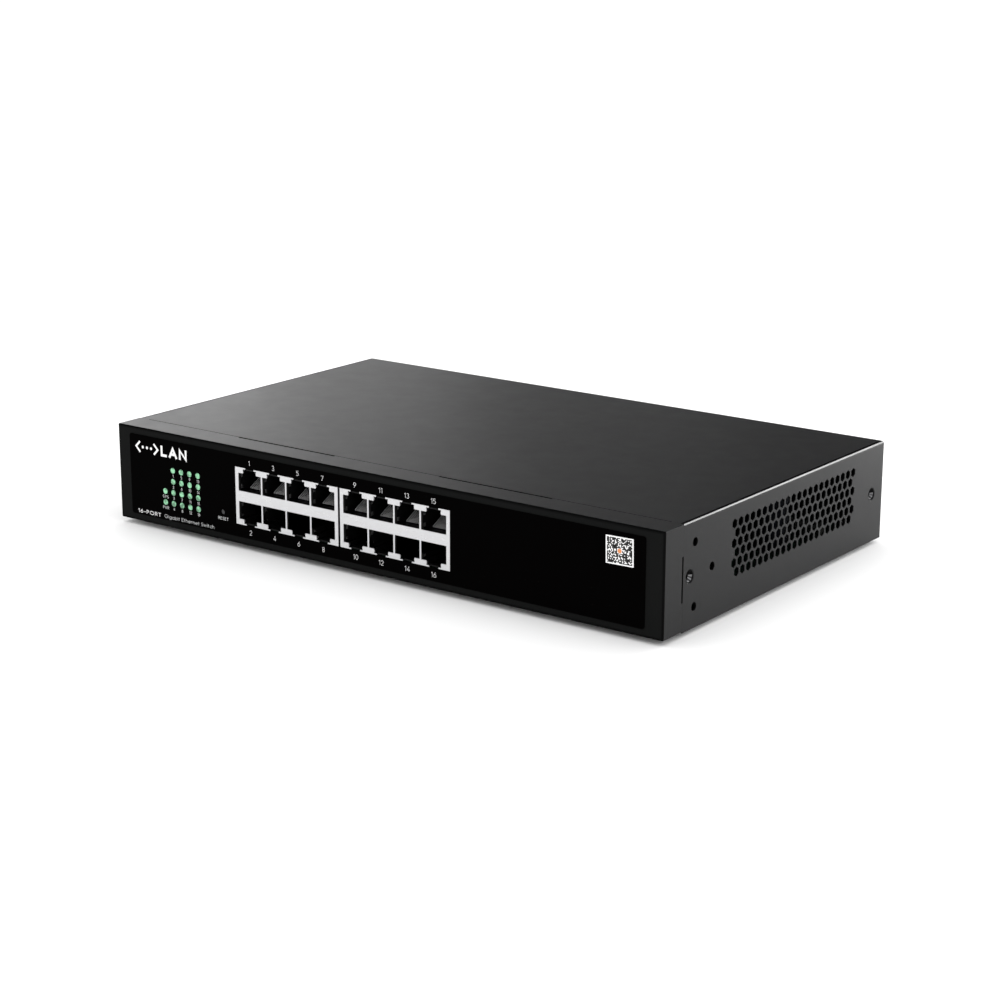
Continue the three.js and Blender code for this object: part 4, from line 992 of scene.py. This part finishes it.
def screw(name, pos, axis, profile, recess, mat, replaces, spin=20.0, seg=48, edge=0.06, socket=None):
    """profile is [(z, r), ...] about local z, from the shank's end to the crown; recess is (size, depth, z of its top)."""
    v, f = [], []
    m = len(profile)
    for z, r in profile:
        v += [(r * math.cos(2 * math.pi * i / seg), r * math.sin(2 * math.pi * i / seg), z) for i in range(seg)]
    f += [[j * seg + i, j * seg + (i + 1) % seg, (j + 1) * seg + (i + 1) % seg, (j + 1) * seg + i] for j in range(m - 1) for i in range(seg)]
    f += [list(range(seg))[::-1], [(m - 1) * seg + i for i in range(seg)]]
    o = obj_from(name, [Vector(p) / 1000 for p in v], f)
    rv, rf = phillips(recess[0], recess[1])
    c = obj_from("c", [Vector((p[0], p[1], p[2] + recess[2])) / 1000 for p in rv], rf)
    o = tidy(boolean(o, c))
    if socket:  # the recess, the dish floor, the shank, the rim and the downward faces take the near-black copy: painted shade
        o.data.materials.clear()
        for mt in (mat, socket):
            o.data.materials.append(mt)
        up = Matrix.Rotation(math.radians(spin), 3, "Z").inverted() @ Vector((Vector(axis).normalized().orthogonal().dot((0, 0, 1)),
                                                                         Vector(axis).normalized().cross(Vector(axis).normalized().orthogonal()).dot((0, 0, 1)), 0))
        for p in o.data.polygons:
            zc, rc = p.center.z * 1000, math.hypot(p.center.x, p.center.y) * 1000
            p.material_index = 1 if (rc < 1.3 and zc < -1.15) or zc < -1.9 or zc > -0.25 or p.normal.dot(up) < -0.12 else 0
        mat = [mat, socket]
    z = Vector(axis).normalized()
    x = z.orthogonal().normalized()
    y = z.cross(x)
    rot = Matrix((x, y, z)).transposed().to_4x4() @ Matrix.Rotation(math.radians(spin), 4, "Z")
    o.data.transform(Matrix.Translation(W(*pos)) @ rot)
    soften(o, edge, 2, 40, 40)
    return done(o, mat, replaces=replaces)


def make_screws():
    k = 0
    for side, m in (("left", -1), ("right", 1)):
        for (y, z), end in zip(SIDE_SCREWS, ("front", "rear")):
            # a dished head: rim, cone down to a small cross
            prof = [(-6, 1.1), (-1.75, 1.22), (-0.1, 2.66), (0.0, 2.7), (0.04, 2.62), (-0.02, 2.5), (-0.2, 2.3), (-1.3, 1.12), (-1.4, 0.8)]
            # the dish's lower part stays bright metal and the rest near black: painted highlight and painted shade
            screw(f"screw_{side}_{end}", (m * (HALF - 0.24), y, z), (m, 0, 0), prof, (1.7, 0.7, -1.4), SCREW_LIT_HALF,
                  [f"cover_screw_{side}_{end}"], spin=(8, 33, 12, 27)[k], socket=SCREW_SHADE)
            k += 1
    pan = lambda r, h: [(-6, 1.05), (0.0, 1.1), (0.0, r), (h * 0.35, r), (h * 0.72, r * 0.9), (h * 0.93, r * 0.66), (h, r * 0.35)]
    for i in range(4):
        lo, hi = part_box(f"pcb_screw_{i + 1}")
        c = ((lo + hi) / 2) * 1000
        screw(f"board_screw_{i + 1}", (c.x, c.y - YF, 8.85), (0, 0, 1), pan(2.8, 1.9), (3.0, 1.2, 1.8), ZINC, [f"pcb_screw_{i + 1}"], spin=17 * i)
    for i in range(2):
        lo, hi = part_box(f"psu_screw_{i + 1}")
        c = ((lo + hi) / 2) * 1000
        screw(f"supply_screw_{i + 1}", (c.x, c.y - YF, 8.85), (0, 0, 1), pan(2.8, 1.9), (3.0, 1.2, 1.8), ZINC, [f"psu_screw_{i + 1}"], spin=23 * i)
    screw("earth_screw", (72, CASE_D + 0.05, 22), (0, 1, 0), pan(3.4, 2.1), (3.6, 1.5, 2.0), ZINC, ["ground_screw"], spin=31)


# ------------------------------------------------------------------ feet, reset button
def make_small():
    for name, x, y in (("front_left", -122, 24), ("front_right", 122, 24), ("rear_left", -122, 156), ("rear_right", 122, 156)):
        b = -ZF
        prof = [(b + 0.0, 4.6), (b + 0.06, 5.0), (b + 0.3, 5.55), (b + 0.7, 5.85), (LIFT - 0.5, 6.1), (LIFT - 0.05, 6.2)]
        o = Shape().rings("z", (x, y), prof, 64).make("rubber_foot_" + name)
        cut = Shape().rings("z", (x, y), [(b - 1, 2.1), (b + 0.55, 1.9)], 40).make("c")
        o = tidy(boolean(o, cut))
        soften(o, 0.08, 2, 40, 40)
        done(o, RUBBER, replaces=["foot_" + name])
    prof = [(6.0, 1.6), (5.9, 1.7), (4.8, 1.7), (4.7, 1.6), (4.7, 1.1), (0.3, 1.1), (0.18, 1.02), (0.15, 0.9), (0.15, 0.55), (0.3, 0.35)]
    o = Shape().rings("y", (RESET_X, RESET_Z), prof, 40).make("reset_plunger")
    soften(o, 0, 0, 40, 40)
    done(o, BUTTON, body="reset_button", replaces=["reset_button"])


make_cover()
make_tray()
make_film()
make_print()
make_rear_print()
make_label()
make_jacks()
make_contacts()
make_pipes()
make_screws()
make_small()


# ------------------------------------------------------------------ carried-over CAD nodes: finish and fine edges
def finish_node(name, mat, width=0.15, seg=2):
    o = NODES[name]
    o.data.materials.clear()
    o.data.materials.append(mat)
    if width:
        m = o.modifiers.new("edge", "BEVEL")
        m.width, m.segments, m.limit_method, m.angle_limit = width / 1000, seg, "ANGLE", math.radians(35)
    return o


for nm, mt in {
    "main_pcb": PCB_GREEN, "psu_board": PCB_BROWN, "light_pipe_holder": JACK_PLASTIC, "reset_switch_body": JACK_PLASTIC,
    "switch_chip": CHIP, "chip_heatsink": ANOD, "lan_transformer_1": CHIP, "lan_transformer_2": CHIP, "lan_transformer_3": CHIP,
    "lan_transformer_4": CHIP, "psu_insulator_sheet": MYLAR, "psu_transformer": TAPE, "bulk_capacitor": SLEEVE,
    "output_capacitor": SLEEVE, "psu_heatsink": ALU, "line_filter_choke": COIL, "x_capacitor": XCAP, "line_fuse": CERAMIC,
    "ac_inlet_body": JACK_PLASTIC, "ac_pin_line": BRASS, "ac_pin_neutral": BRASS, "ac_pin_earth": BRASS, "dc_harness": WIRE_RED,
}.items():
    finish_node(nm, mt, 0.12 if nm in ("psu_insulator_sheet",) else 0.2)
